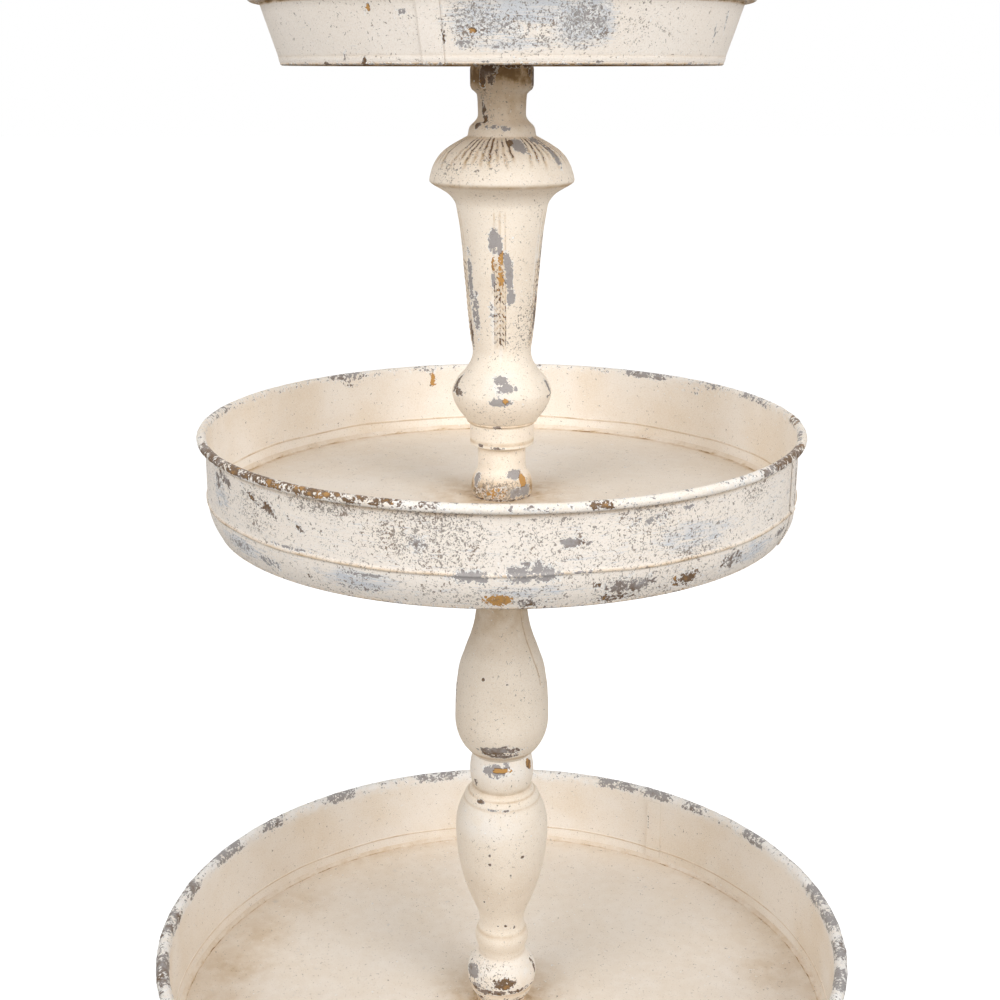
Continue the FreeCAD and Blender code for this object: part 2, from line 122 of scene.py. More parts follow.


# chalky cream paint over a white undercoat, brushed on zinc-grey metal or primed wood and worn through:
# soft matt cream, dark flecks, torn chips with a pale rim, grey dry-brush streaks, brown in the corners,
# with painted shade and one painted highlight laid into the colour as well
def chalkPaint(name, look):
    material, tree, shader = newMaterial(name)
    add = functools.partial(addNode, tree)
    shade = {key: linear(value) for key, value in paintColours.items()}
    place = add("TexCoord", out="Object")
    across = add("Mapping", {"Vector": place, "Scale": (1.0, 1.0, strokeStretch)})
    mask = {key: add("Attribute", out="Fac", attribute_name=key) for key in maskNames}
    noise = {}
    for key, (sizeMm, detail, roughness, distortion) in paintNoises.items():
        noise[key] = add("TexNoise", {
            "Vector": across if key == "stroke" else place, "Scale": 1 / (sizeMm * mm),
            "Detail": detail, "Roughness": roughness, "Distortion": distortion,
        })
    flake = add("TexVoronoi", {"Vector": place, "Scale": 1 / (look["flakeSize"] * mm)}, out="Color")

    # cream coat, warmer in clouds, speckled by the grain of the paint
    cloudy = add("MapRange", {"Value": noise["wide"], 1: 0.38, 2: 0.68})
    plain, cloud = shade[look["coat"]], shade[look["coatCloud"]]
    coat = add("Mix", {"Factor": cloudy, "A": plain, "B": cloud}, 2, data_type="RGBA")
    coat = add("Mix", {"Factor": mask["cool"], "A": coat, "B": shade["creamCool"]}, 2, data_type="RGBA")
    light = add("MapRange", {"Value": noise["grain"], 1: 0.5, 2: 0.72, 4: look["grainLight"]})
    coat = add("Mix", {"Factor": light, "A": coat, "B": shade["creamPale"]}, 2, data_type="RGBA")
    dark = add("MapRange", {"Value": noise["grain"], 1: 0.45, 2: 0.24, 4: look["grainDark"]})
    coat = add("Mix", {"Factor": dark, "A": coat, "B": shade["speckle"]}, 2, data_type="RGBA")

    # grey dry-brush patches with fine streaks in them
    streak = add("Math", {0: noise["stroke"], 1: 2.2, 2: mask["brush"]}, operation="MULTIPLY_ADD")
    streak = add("Math", {0: noise["mottle"], 1: 1.0, 2: streak}, operation="MULTIPLY_ADD")
    brushed = add("MapRange", {"Value": streak, 1: 1.95, 2: 2.55, 4: 0.85})
    coat = add("Mix", {"Factor": brushed, "A": coat, "B": shade["dryBrush"]}, 2, data_type="RGBA")

    # places worn down to the white undercoat, and one painted highlight between the carved cords of the
    # upper post
    paleWearAndHighlight = add("MapRange", {"Value": noise["mottle"], 1: 0.36, 2: 0.58, 3: 0.35})
    paleWearAndHighlight = add("Math", {0: mask["pale"], 1: paleWearAndHighlight}, operation="MULTIPLY")
    coat = add("Mix", {"Factor": paleWearAndHighlight, "A": coat, "B": shade["undercoat"]}, 2, data_type="RGBA")

    # brown dirt in corners, turned grooves and joints, and painted shade under the rims, under the trays,
    # under the cap's lip and round the posts; darkest where the mask is strongest
    uneven = add("MapRange", {"Value": noise["mottle"], 1: 0.3, 2: 0.62, 3: 0.4})
    settledAndShade = add("Math", {0: mask["grime"], 1: uneven}, operation="MULTIPLY", use_clamp=True)
    coat = add("Mix", {"Factor": settledAndShade, "A": coat, "B": shade["patinaAndShade"]}, 2, data_type="RGBA")
    darkest = add("MapRange", {"Value": settledAndShade, 1: 0.62, 2: 1.0, 4: 0.7})
    coat = add("Mix", {"Factor": darkest, "A": coat, "B": shade["rustAndShadow"]}, 2, data_type="RGBA")

    # flecks and pinholes where the coat is thin, more of them where it is brushed
    thin = add("Math", {0: brushed, 1: 0.3, 2: mask["flecks"]}, operation="MULTIPLY_ADD")
    fleckLimit = add("Math", {0: thin, 1: -0.145, 2: 0.70}, operation="MULTIPLY_ADD")
    fleckOver = add("Math", {0: noise["fleck"], 1: fleckLimit}, operation="SUBTRACT")
    flecked = add("MapRange", {"Value": fleckOver, 1: 0.0, 2: 0.045, 4: 0.8})
    pinLimit = add("Math", {0: thin, 1: -0.13, 2: 0.75}, operation="MULTIPLY_ADD")
    pinOver = add("Math", {0: noise["pin"], 1: pinLimit}, operation="SUBTRACT")
    pinned = add("MapRange", {"Value": pinOver, 1: 0.0, 2: 0.05, 4: 0.75})
    flecked = add("Math", {0: flecked, 1: pinned}, operation="MAXIMUM")
    browner = add("MapRange", {"Value": noise["mottle"], 1: 0.5, 2: 0.62})
    speck = add("Mix", {"Factor": browner, "A": shade["fleck"], "B": shade["rustAndShadow"]}, 2, data_type="RGBA")
    colour = add("Mix", {"Factor": flecked, "A": coat, "B": speck}, 2, data_type="RGBA")

    # chips torn through to the white undercoat and then to what lies beneath
    chip = add("Math", {0: noise["torn"], 1: 1.7, 2: mask["worn"]}, operation="MULTIPLY_ADD")
    chip = add("Math", {0: flake, 1: 0.45, 2: chip}, operation="MULTIPLY_ADD")
    opened = add("MapRange", {"Value": chip, 1: 1.4, 2: 1.5})
    patchy = add("MapRange", {"Value": noise["mottle"], 1: 0.4, 2: 0.58, 3: 0.15, 4: 0.95})
    fringe = add("Math", {0: opened, 1: patchy}, operation="MULTIPLY")
    bare = add("MapRange", {"Value": chip, 1: 1.56, 2: 1.6})
    tint = add("Math", {0: noise["mottle"], 1: 0.8, 2: mask["tint"]}, operation="MULTIPLY_ADD")
    tint = add("Math", {0: noise["torn"], 1: 0.55, 2: tint}, operation="MULTIPLY_ADD")
    brown = add("MapRange", {"Value": tint, 1: 0.8, 2: 1.12})
    under = add("Mix", {"Factor": brown, "A": shade["zinc"], "B": shade["rustAndShadow"]}, 2, data_type="RGBA")
    yellow = add("MapRange", {"Value": tint, 1: 1.22, 2: 1.45})
    under = add("Mix", {"Factor": yellow, "A": under, "B": shade["ochre"]}, 2, data_type="RGBA")
    worked = add("MapRange", {"Value": noise["grain"], 1: 0.5, 2: 0.72, 4: 0.55})
    under = add("Mix", {"Factor": worked, "A": under, "B": shade["zincDark"]}, 2, data_type="RGBA")
    colour = add("Mix", {"Factor": fringe, "A": colour, "B": shade["undercoat"]}, 2, data_type="RGBA")
    colour = add("Mix", {"Factor": bare, "A": colour, "B": under}, 2, data_type="RGBA")
    tree.links.new(colour, shader.inputs["Base Color"])
    tree.links.new(add("MapRange", {"Value": bare, 3: 0.68, 4: 0.52}), shader.inputs["Roughness"])
    shader.inputs["Specular IOR Level"].default_value = 0.25

    # paint thickness: grain of the brush, pits at flecks, a step down into chips
    relief = add("Math", {0: noise["grain"], 1: 0.4, 2: 0.0}, operation="MULTIPLY_ADD")
    for layer, depth in ((noise["stroke"], 0.2), (flecked, -0.4), (fringe, -0.35), (bare, -0.6)):
        relief = add("Math", {0: layer, 1: depth, 2: relief}, operation="MULTIPLY_ADD")
    bump = add("Bump", {"Height": relief, "Distance": paintDepth, "Strength": 0.8})
    tree.links.new(bump, shader.inputs["Normal"])
    return material


# plain steel, turned or drawn and a little dulled: grey with fine streaks and a soft gloss
def dullSteel(name):
    material, tree, shader = newMaterial(name)
    add = functools.partial(addNode, tree)
    drawn = add("Mapping", {"Vector": add("TexCoord", out="Object"), "Scale": (1.0, 1.0, 0.1)})
    streak = add("TexNoise", {"Vector": drawn, "Scale": 1 / steelStreak, "Detail": 4.0})
    grey, bright = linear("#8d8b88"), linear("#b3b0aa")
    tone = add("Mix", {"Factor": streak, "A": grey, "B": bright}, 2, data_type="RGBA")
    tree.links.new(tone, shader.inputs["Base Color"])
    tree.links.new(add("MapRange", {"Value": streak, 3: 0.32, 4: 0.5}), shader.inputs["Roughness"])
    shader.inputs["Metallic"].default_value = 1.0
    return material


# Shaping tools

def startPiece(name, firstPoint):
    bpy.ops.object.select_all(action="DESELECT")
    bpy.ops.mesh.primitive_plane_add(size=1.0, location=(0, 0, 0))
    piece = bpy.context.active_object
    piece.name = name
    bpy.ops.object.mode_set(mode="EDIT")
    bpy.ops.mesh.select_all(action="SELECT")
    bpy.ops.mesh.merge(type="CENTER")
    bpy.ops.transform.translate(value=(firstPoint[0], 0, firstPoint[1]))
    return piece


# a section drawn by extruding a point, then spun round the table's axis
def spinSection(name, section, steps, start=0.0, turn=fullTurn, closed=False, centre=(0.0, 0.0)):
    piece = startPiece(name, section[0])
    path = section[1:] + (section[:1] if closed else [])
    here = section[0]
    for there in path:
        move = (there[0] - here[0], 0, there[1] - here[1])
        bpy.ops.mesh.extrude_region_move(TRANSFORM_OT_translate={"value": move})
        here = there
    bpy.ops.mesh.select_all(action="SELECT")
    bpy.ops.mesh.remove_doubles(threshold=0.001 * mm)
    if start:
        bpy.ops.mesh.select_all(action="SELECT")
        bpy.ops.transform.rotate(value=-start, orient_axis="Z", center_override=(0, 0, 0))
    bpy.ops.mesh.select_all(action="SELECT")
    bpy.ops.mesh.spin(steps=steps, angle=turn, center=(0, 0, 0), axis=(0, 0, 1))
    bpy.ops.mesh.select_all(action="SELECT")
    bpy.ops.mesh.remove_doubles(threshold=0.005 * mm)
    bpy.ops.mesh.normals_make_consistent(inside=False)
    bpy.ops.transform.translate(value=(centre[0], centre[1], 0))
    bpy.ops.object.mode_set(mode="OBJECT")
    return piece


def chooseOnly(piece):
    bpy.ops.object.select_all(action="DESELECT")
    piece.select_set(True)
    bpy.context.view_layer.objects.active = piece


def applyModifier(piece, kind, settings):
    chooseOnly(piece)
    modifier = piece.modifiers.new(kind.title(), kind)
    for key, value in settings.items():
        setattr(modifier, key, value)
    bpy.ops.object.modifier_apply(modifier=modifier.name)


def joinInto(piece, others):
    chooseOnly(piece)
    for other in others:
        other.select_set(True)
    bpy.ops.object.join()


def smoothByAngle(piece, degrees):
    chooseOnly(piece)
    bpy.ops.object.shade_smooth_by_angle(angle=math.radians(degrees))


# points of a piece as bearing from the front, radius and height
def readRound(piece, centre=(0.0, 0.0)):
    flat = np.empty(len(piece.data.vertices) * 3)
    piece.data.vertices.foreach_get("co", flat)
    x, y, z = flat.reshape(-1, 3).T
    x, y = x - centre[0], y - centre[1]
    return np.arctan2(x, -y), np.hypot(x, y), z.copy()


def writeRound(piece, bearing, radius, height, centre=(0.0, 0.0)):
    x = centre[0] + radius * np.sin(bearing)
    y = centre[1] - radius * np.cos(bearing)
    piece.data.vertices.foreach_set("co", np.stack([x, y, height], axis=1).ravel())
    piece.data.update()


def near(value, target, reach):
    return np.clip(1.0 - np.abs(value - target) / reach, 0.0, 1.0)


def wrapped(angle):
    return (angle + math.pi) % fullTurn - math.pi


# waviness round the axis: a few whole numbers of waves per turn, each also climbing with height
def ripple(bearing, height, seed, waves, climb=0.0):
    total = np.zeros_like(bearing)
    for i, count in enumerate(waves):
        total += np.sin(count * bearing + climb * (i + 1) * height / mm + seed * (2.3 * i + 1))
    return total / len(waves)


# listed marks: bearing in degrees, height, width and tallness in mm, amount,
# then the tint of what shows and the slant in degrees, falling to the right
def layMarks(bearing, radius, height, marks):
    amount = np.zeros_like(bearing)
    tint = np.zeros_like(bearing)
    for degrees, level, wideMm, tallMm, strength, *rest in marks:
        colour, slant = (rest + [0.0, 0.0])[:2]
        x = wrapped(bearing - math.radians(degrees)) * radius / mm
        z = height / mm - level
        turn = math.radians(slant)
        along = x * math.cos(turn) - z * math.sin(turn)
        aside = x * math.sin(turn) + z * math.cos(turn)
        off = np.hypot(along / (wideMm / 2), aside / (tallMm / 2))
        cover = strength * np.clip(1.5 - off, 0.0, 1.0)
        stronger = cover > amount
        amount = np.where(stronger, cover, amount)
        tint = np.where(stronger, colour, tint)
    return amount, tint


def setMasks(piece, **masks):
    for name in maskNames:
        layer = piece.data.attributes.new(name, "FLOAT", "POINT")
        values = np.broadcast_to(np.asarray(masks.get(name, 0.0), dtype=float), len(piece.data.vertices))
        layer.data.foreach_set("value", np.ascontiguousarray(values))


def dress(piece, material, slotName, *nodes):
    piece.data.materials.clear()
    piece.data.materials.append(material)
    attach(piece, "root")
    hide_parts(*nodes)


# Trays: sizes in mm that the parts in model.glb do not state, then the wear by place, as layMarks reads it
# rims: bearing and span in degrees, amount, tint, then 1 for the outer side, -1 for the inner, 0 for both
# darker patches on the floor: bearing in degrees, radius and spread in mm, amount

trayShapes = {
    "top": {
        "walls": ["top_tray_wall"], "postRadius": 20.0,
        "bead": 4.6, "lean": 16.8, "step": 2.4, "crease": 6.0, "ridge": 0.0,
        "outerSeams": [-13.0], "innerSeams": [],
        "outOfRound": 0.5, "creaseWave": 0.0, "lumps": 0.25, "seed": 3.1,
        "rimWorn": 0.2, "rimTint": 0.2, "rimPale": 0.5,
        "creaseGrime": 0.25, "fleckBase": 0.3, "brushBase": 0.0,
        "rims": [
            (-40, 30, 0.5, 0.4, 0), (10, 40, 0.55, 0.1, 0), (80, 30, 0.45, 0.3, 0),
            (150, 50, 0.5, 0.2, 0), (-140, 40, 0.55, 0.4, 0),
        ],
        "chips": [
            (-29.4, 930.2, 4, 5, 0.9, 0.75), (-21.3, 927.6, 6, 4, 0.8, 0.1),
            (-46, 894.5, 8, 4, 0.85, 0.45), (-39, 900, 3, 8, 0.7, 0.3, 20),
            (-33.5, 897, 4, 7, 0.85, 0.4, 30), (-6.5, 915.3, 7, 4, 0.75, 0.65),
            (-12.8, 914, 1.4, 40, 0.4, 0.4), (-6, 922, 34, 16, 0.42, 0.1), (2, 917, 34, 10, 0.4, 0.0),
            (-8, 908, 22, 6, 0.56, 0.0), (1, 906.5, 34, 6, 0.44, 0.0), (17.8, 922, 38, 26, 0.47, 0.0),
            (14, 911, 24, 6, 0.42, 0.1), (59, 917, 3, 22, 0.62, 0.1, -22),
            (64, 923, 3, 18, 0.6, 0.1, -22), (-3, 895.5, 26, 4, 0.5, 0.2), (22, 896, 20, 3, 0.45, 0.2),
        ],
        "flecks": [
            (-6, 920, 44, 34, 1.1), (18, 920, 46, 36, 1.15), (6, 914, 80, 36, 0.9),
            (30, 918, 40, 40, 0.7), (-22, 926, 40, 16, 0.5), (40, 920, 60, 40, 0.45),
        ],
        "brush": [
            (-4, 923, 50, 28, 0.9), (18, 922, 44, 34, 1.05), (7, 930, 76, 22, 0.95),
            (2, 908, 60, 10, 0.8),
        ],
        "inside": [], "darkPatches": [],
    },
    "middle": {
        "walls": ["middle_tray_wall"], "postRadius": 25.0,
        "bead": 3.7, "lean": 9.1, "step": 9.0, "crease": 27.0, "ridge": 1.1,
        "outerSeams": [71.0], "innerSeams": [],
        "outOfRound": 0.6, "creaseWave": 1.2, "lumps": 0.3, "seed": 7.7,
        "rimWorn": 0.27, "rimTint": 0.1, "rimPale": 0.15,
        "creaseGrime": 0.95, "fleckBase": 0.72, "brushBase": 0.25,
        "rims": [
            (-64, 18, 0.72, 0.4, 0), (-52, 14, 0.75, 0.45, 0), (-42, 14, 0.7, 0.5, 0),
            (-31, 14, 0.66, 0.55, 0), (-22, 12, 0.62, 0.5, 0), (-13, 10, 0.5, 0.3, 0),
            (-40, 50, 0.7, 0.05, -1), (-8, 22, 0.62, 0.05, -1), (15.6, 5, 0.62, 0.45, 0),
            (24, 16, 0.5, 0.1, -1), (42, 10, 0.5, 0.1, -1), (53, 7, 0.7, 0.3, 1), (63, 20, 0.7, 0.42, 0),
            (78, 10, 0.62, 0.1, -1), (-143, 12, 0.62, 0.15, 0), (-163, 8, 0.5, 0.1, 0),
            (145, 14, 0.66, 0.05, 0), (127, 8, 0.55, 0.1, 0), (112, 14, 0.55, 0.1, 0),
            (90, 10, 0.5, 0.4, 0), (-100, 16, 0.5, 0.2, 0),
        ],
        "chips": [
            (-59, 602, 32, 8, 0.7, 0.35, 16), (-48.4, 597.2, 38, 3.2, 0.66, 0.4, 22),
            (-43.5, 592, 22, 6, 0.82, 0.42, 30), (-38.6, 590.3, 34, 2.4, 0.62, 0.4, 32),
            (-36, 585, 12, 5, 0.82, 0.4, 30), (-63, 597, 18, 16, 0.6, 0.2),
            (-38.1, 569.6, 46, 3.4, 0.68, 0.05), (-23.2, 560.4, 40, 3.2, 0.78, 0.0),
            (-4.5, 565.5, 36, 11, 0.65, 0.0), (5, 568, 42, 17, 0.63, 0.0),
            (-0.6, 547.6, 22, 10, 0.8, 0.8), (4.5, 546, 22, 10, 0.6, 0.3), (11.2, 589, 14, 7, 0.9, 0.15),
            (14.2, 587.6, 7, 3, 0.7, 0.2, -20), (13, 566.4, 18, 3, 0.6, 0.1),
            (21.6, 553.5, 46, 14, 0.62, 0.28), (19, 545, 36, 9, 0.6, 0.42),
            (33, 550.5, 24, 15, 0.64, 0.5), (44, 555.4, 26, 15, 0.6, 0.3),
            (-34.9, 550.8, 3.5, 6, 0.9, 0.5), (-16.8, 544.7, 3, 4, 0.9, 0.5),
            (-54, 556, 50, 8, 0.5, 0.0), (-45, 552, 30, 10, 0.55, 0.05), (-25, 549, 50, 5, 0.45, 0.1),
            (-14, 588, 16, 16, 0.5, 0.1), (32.5, 604, 16, 4.5, 0.66, 0.1), (25, 598, 30, 10, 0.46, 0.1),
            (70.6, 588, 4, 60, 0.66, 0.42), (62, 557, 28, 8, 0.62, 0.25), (56, 574, 12, 3, 0.6, 0.4),
            (120, 570, 40, 10, 0.55, 0.1), (180, 590, 30, 12, 0.5, 0.2), (-130, 560, 50, 10, 0.55, 0.3),
            (150, 545, 60, 8, 0.55, 0.5), (-90, 585, 30, 12, 0.55, 0.3), (95, 585, 26, 14, 0.5, 0.2),
        ],
        "flecks": [
            (-12, 592, 110, 60, 1.15), (-30, 606, 90, 22, 1.2), (-48, 590, 60, 50, 0.95),
            (25, 600, 60, 34, 1.1), (8, 590, 80, 50, 0.9), (50, 602, 50, 26, 1.0),
            (34, 572, 50, 14, 1.1), (-5, 552, 120, 24, 0.85),
        ],
        "brush": [
            (-54, 557, 70, 17, 0.75), (-25, 556, 66, 15, 0.85), (4, 554, 70, 10, 0.75),
            (34, 582, 80, 26, 0.72), (50, 556, 70, 18, 0.8), (-62, 585, 40, 26, 0.6),
            (20, 608, 40, 10, 0.4),
        ],
        "inside": [
            (-163.7, 604, 6, 13, 0.9, 0.95), (-143, 608, 30, 4, 0.5, 0.3), (-155, 605, 14, 4, 0.5, 0.4),
            (130, 608, 60, 4, 0.45, 0.1),
        ],
        "darkPatches": [(-75, 165, 36, 0.6), (80, 170, 36, 0.5)],
    },
    "bottom": {
        "walls": ["bottom_tray_wall_left", "bottom_tray_wall_right"], "postRadius": 23.0,
        "bead": 5.5, "lean": 10.0, "step": 9.9, "crease": 33.0, "ridge": 1.2,
        "outerSeams": [-32.0, 148.0], "innerSeams": [147.8],
        "outOfRound": 0.9, "creaseWave": 1.2, "lumps": 0.45, "seed": 11.3,
        "rimWorn": 0.26, "rimTint": 0.05, "rimPale": 0.75,
        "creaseGrime": 0.95, "fleckBase": 0.72, "brushBase": 0.25,
        "rims": [
            (-115, 9, 0.72, 0.0, 0), (-145, 8, 0.7, 0.0, 0), (-128, 7, 0.62, 0.15, 0),
            (-76, 12, 0.72, 0.25, 0), (-90, 9, 0.7, 0.2, 0), (-101, 8, 0.62, 0.2, 0),
            (-166, 10, 0.64, 0.0, 0), (155, 10, 0.7, 0.0, 0), (146, 7, 0.74, 0.0, 0),
            (137, 6, 0.6, 0.1, 0), (121, 7, 0.68, 0.0, 0), (99, 8, 0.68, 0.0, 0), (91, 8, 0.68, 0.0, 0),
            (82, 8, 0.6, 0.1, 0), (73, 8, 0.68, 0.0, 0), (-90, 60, 0.5, 0.25, 1),
            (95, 60, 0.48, 0.15, 1), (-150, 50, 0.42, 0.2, 1), (150, 50, 0.44, 0.2, 1),
            (-40, 30, 0.6, 0.4, 0), (10, 30, 0.55, 0.2, 0), (45, 24, 0.6, 0.35, 0),
        ],
        "chips": [
            (-30, 100, 40, 12, 0.6, 0.2), (10, 90, 60, 12, 0.62, 0.1), (35, 120, 14, 8, 0.7, 0.5),
            (-5, 60, 30, 10, 0.7, 0.85), (-60, 66, 60, 12, 0.6, 0.3), (60, 62, 50, 10, 0.6, 0.4),
            (120, 90, 50, 12, 0.55, 0.1), (180, 100, 40, 14, 0.55, 0.2), (-130, 70, 60, 14, 0.55, 0.3),
        ],
        "flecks": [(-20, 115, 160, 80, 1.0), (30, 110, 140, 70, 1.0), (170, 110, 160, 70, 0.9)],
        "brush": [(0, 66, 200, 22, 0.8), (45, 100, 90, 50, 0.7), (-60, 80, 90, 50, 0.7)],
        "inside": [(165, 132, 10, 3, 0.6, 0.4), (147.4, 120, 2.5, 30, 0.5, 0.4)],
        "darkPatches": [
            (-128, 258, 36, 0.55), (-114, 258, 38, 0.65), (-100, 258, 40, 0.7), (-86, 256, 40, 0.6),
            (98, 258, 40, 0.5),
        ],
    },
}
sheetGauge = 1.2 * mm
traySteps = 480
floorSteps = 160
lapWidth = 16 * mm
lapGauge = 0.8 * mm
rimRoll = {"points": 21, "turn": 15.8}  # the edge rolled outward, degrees from point to point
jointBead = 1.6 * mm  # rough joint between wall and floor
rodGap = 0.6 * mm
wallSmooth = 35.0  # faces that meet at less than so many degrees are shaded as one
floorSmooth = 40.0


def between(start, end, count):
    shares = [i / count for i in range(count)]
    return [(start[0] + (end[0] - start[0]) * s, start[1] + (end[1] - start[1]) * s) for s in shares]


def trayMeasures(tray):
    shape = trayShapes[tray]
    boxes = [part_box(wall) for wall in shape["walls"]]
    low = min(box[0].z for box in boxes)
    high = max(box[1].z for box in boxes)
    rim = max(box[1].x for box in boxes)
    floorLow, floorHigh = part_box(tray + "_tray_floor")
    bead = shape["bead"] * mm
    step = shape["step"] * mm
    tall = shape["crease"] * mm
    wall = rim - 2 * bead + sheetGauge
    base = wall - shape["lean"] * mm
    return {
        "baseZ": low, "bead": bead, "rim": rim, "rimZ": high - bead, "wall": wall,
        "creaseR": base + step, "creaseZ": low + tall, "bend": (step ** 2 + tall ** 2) / (2 * step),
        "ridge": shape["ridge"] * mm, "floorR": floorHigh.x, "floorZ": floorHigh.z, "flangeZ": floorLow.z,
    }


# outer face of the wall at a height: straight above the crease, rounded in below it
def wallRadius(m, height):
    climb = np.clip((height - m["creaseZ"]) / (m["rimZ"] - m["creaseZ"]), 0.0, 1.0)
    drop = np.clip(m["creaseZ"] - height, 0.0, m["bend"])
    straight = m["creaseR"] + climb * (m["wall"] - m["creaseR"])
    return straight - m["bend"] + np.sqrt(m["bend"] ** 2 - drop ** 2)


# down the outside of the wall, with a low ridge standing along the crease
def wallOutside(m):
    level = m["creaseZ"]
    heights = [z for r, z in between((0, m["rimZ"] - 0.93 * m["bead"]), (0, level + 3.2 * mm), 20)]
    heights += [level + rise * mm for rise in (3.2, 2.0, 1.3, 0.8, 0.4, 0.0, -0.4, -0.8, -1.3, -2.0)]
    heights += [z for r, z in between((0, level - 3.2 * mm), (0, m["baseZ"] + 1.6 * mm), 10)]
    heights += [m["baseZ"] + rise * mm for rise in (1.6, 0.9, 0.0)]
    points = []
    for z in heights:
        ridge = m["ridge"] * max(0.0, 1 - (abs(z - level) / (1.5 * mm)) ** 2)
        lip = 0.5 * mm * max(0.0, 1 - abs(z - m["baseZ"] - 0.9 * mm) / (0.9 * mm))
        points.append((float(wallRadius(m, z)) + ridge + lip, z))
    return points


def wallInside(m):
    low = [z for r, z in between((0, m["baseZ"]), (0, m["creaseZ"] - 2 * mm), 8)]
    turn = [m["creaseZ"] + rise * mm for rise in (-2.0, -1.2, -0.6, 0.0, 0.6, 1.2)]
    high = [z for r, z in between((0, m["creaseZ"] + 2 * mm), (0, m["rimZ"] - 0.3 * m["bead"]), 14)]
    points = []
    for z in low + turn + high:
        ridge = 0.6 * m["ridge"] * max(0.0, 1 - (abs(z - m["creaseZ"]) / (1.2 * mm)) ** 2)
        points.append((float(wallRadius(m, z)) - sheetGauge - ridge, z))
    return points


def wallSection(m):
    middle = m["rim"] - m["bead"]
    roll = []
    for i in range(rimRoll["points"]):
        angle = math.pi - i * math.radians(rimRoll["turn"])
        roll.append((middle + m["bead"] * math.cos(angle), m["rimZ"] + m["bead"] * math.sin(angle)))
    return wallInside(m) + roll + wallOutside(m)


# a lap of sheet that stands up at one edge and dies away towards the other
def lapStrip(name, m, points, degrees, gap):
    angle = lapWidth / m["wall"]
    strip = spinSection(name, points, 8, start=math.radians(degrees - 90), turn=angle)
    applyModifier(strip, "SOLIDIFY", {"thickness": lapGauge, "offset": 0.0})
    bearing, radius, height = readRound(strip)
    share = np.clip(wrapped(bearing - math.radians(degrees)) / angle, 0.0, 1.0)
    writeRound(strip, bearing, radius + gap * (1.0 - share) - 0.6 * np.sign(gap) * lapGauge * share, height)
    return strip


def paintWall(piece, m, shape):
    bearing, radius, height = readRound(piece)
    faceOut = np.where(radius > wallRadius(m, height) - 0.5 * sheetGauge, 1.0, 0.0)
    onRim = np.clip((height - m["rimZ"]) / m["bead"] + 1.15, 0.0, 1.0)
    outside = faceOut * (1.0 - onRim)
    worn, tint = layMarks(bearing, radius, height, shape["chips"])
    innerWorn, innerTint = layMarks(bearing, radius, height, shape["inside"])
    worn = np.where(outside > 0.5, worn, innerWorn * (1.0 - onRim))
    tint = np.where(outside > 0.5, tint, innerTint)
    worn = np.maximum(worn, 0.5 * near(height, m["baseZ"], 3 * mm) * outside)
    rimWorn = np.full_like(bearing, shape["rimWorn"])
    rimTint = np.full_like(bearing, shape["rimTint"])
    ragged = 0.9 + 0.3 * ripple(bearing, height, shape["seed"], (43, 71, 113, 167), 0.4)
    sideOut = np.clip((radius - m["rim"] + m["bead"]) / (0.5 * m["bead"]), -1.0, 1.0)
    for degrees, span, strength, colour, side in shape["rims"]:
        off = np.abs(wrapped(bearing - math.radians(degrees))) / math.radians(span / 2)
        cover = strength * ragged * np.clip((1.4 - off) / 0.8, 0.0, 1.0)
        cover = cover if side == 0 else cover * np.clip(0.5 + side * sideOut, 0.0, 1.0)
        rimTint = np.where(cover > rimWorn, colour, rimTint)
        rimWorn = np.maximum(rimWorn, cover)
    worn = np.where(onRim > 0.3, np.maximum(worn, rimWorn * onRim), worn)
    tint = np.where(onRim > 0.3, rimTint, tint)
    thinner = 0.8 + 0.35 * ripple(bearing, height, shape["seed"], (2, 3, 5, 8))
    flecks = np.maximum(layMarks(bearing, radius, height, shape["flecks"])[0], shape["fleckBase"] * thinner)
    flecks = np.where(outside > 0.5, flecks, 0.1 + 0.2 * onRim)
    brush = np.maximum(layMarks(bearing, radius, height, shape["brush"])[0], shape["brushBase"]) * outside
    broken = 0.75 + 0.25 * ripple(bearing, height, shape["seed"], (13, 29, 47))
    creaseReach = np.where(faceOut > 0.5, 1.9, 1.0) * mm
    grime = shape["creaseGrime"] * broken * near(height, m["creaseZ"], creaseReach)
    grime = np.maximum(grime, 0.5 * near(height, m["floorZ"], 4 * mm) * (1.0 - faceOut))
    # a dark line just under the rolled rim: painted shadow of the rim, with some dirt
    underRimShadowAndDirt = near(height, m["rimZ"] - 1.2 * m["bead"], 0.4 * m["bead"])
    grime = np.maximum(grime, 2.2 * broken * underRimShadowAndDirt * faceOut)
    grime = np.maximum(grime, 1.6 * broken * near(height, m["baseZ"], 2.2 * mm) * faceOut)
    masks = {"worn": worn, "tint": tint, "flecks": flecks, "brush": brush, "grime": grime}
    setMasks(piece, cool=0.8 * outside, pale=shape["rimPale"] * onRim, **masks)


# hand-beaten: slightly out of round, a crease that wanders, a rim with small lumps
def roughenWall(piece, m, shape):
    bearing, radius, height = readRound(piece)
    seed = shape["seed"]
    free = np.clip((height - m["floorZ"]) / (15 * mm), 0.0, 1.0)
    dents = shape["outOfRound"] * ripple(bearing, height, seed, (2, 3, 5))
    dents = dents + 0.25 * ripple(bearing, height, seed, (11, 17, 26, 31), 0.05)
    wander = shape["creaseWave"] * ripple(bearing, height, seed, (3, 7, 11, 16))
    wander = wander * near(height, m["creaseZ"], 12 * mm)
    onRim = near(height, m["rimZ"], 1.6 * m["bead"])
    lumps = ripple(bearing, height, seed, (37, 53, 71, 90), 0.3)
    lumps = shape["lumps"] * onRim * (lumps + 0.7 * ripple(bearing, height, seed + 2, (113, 131, 157), 0.6))
    writeRound(piece, bearing, radius + mm * (free * dents + lumps), height + mm * (wander + 0.6 * lumps))


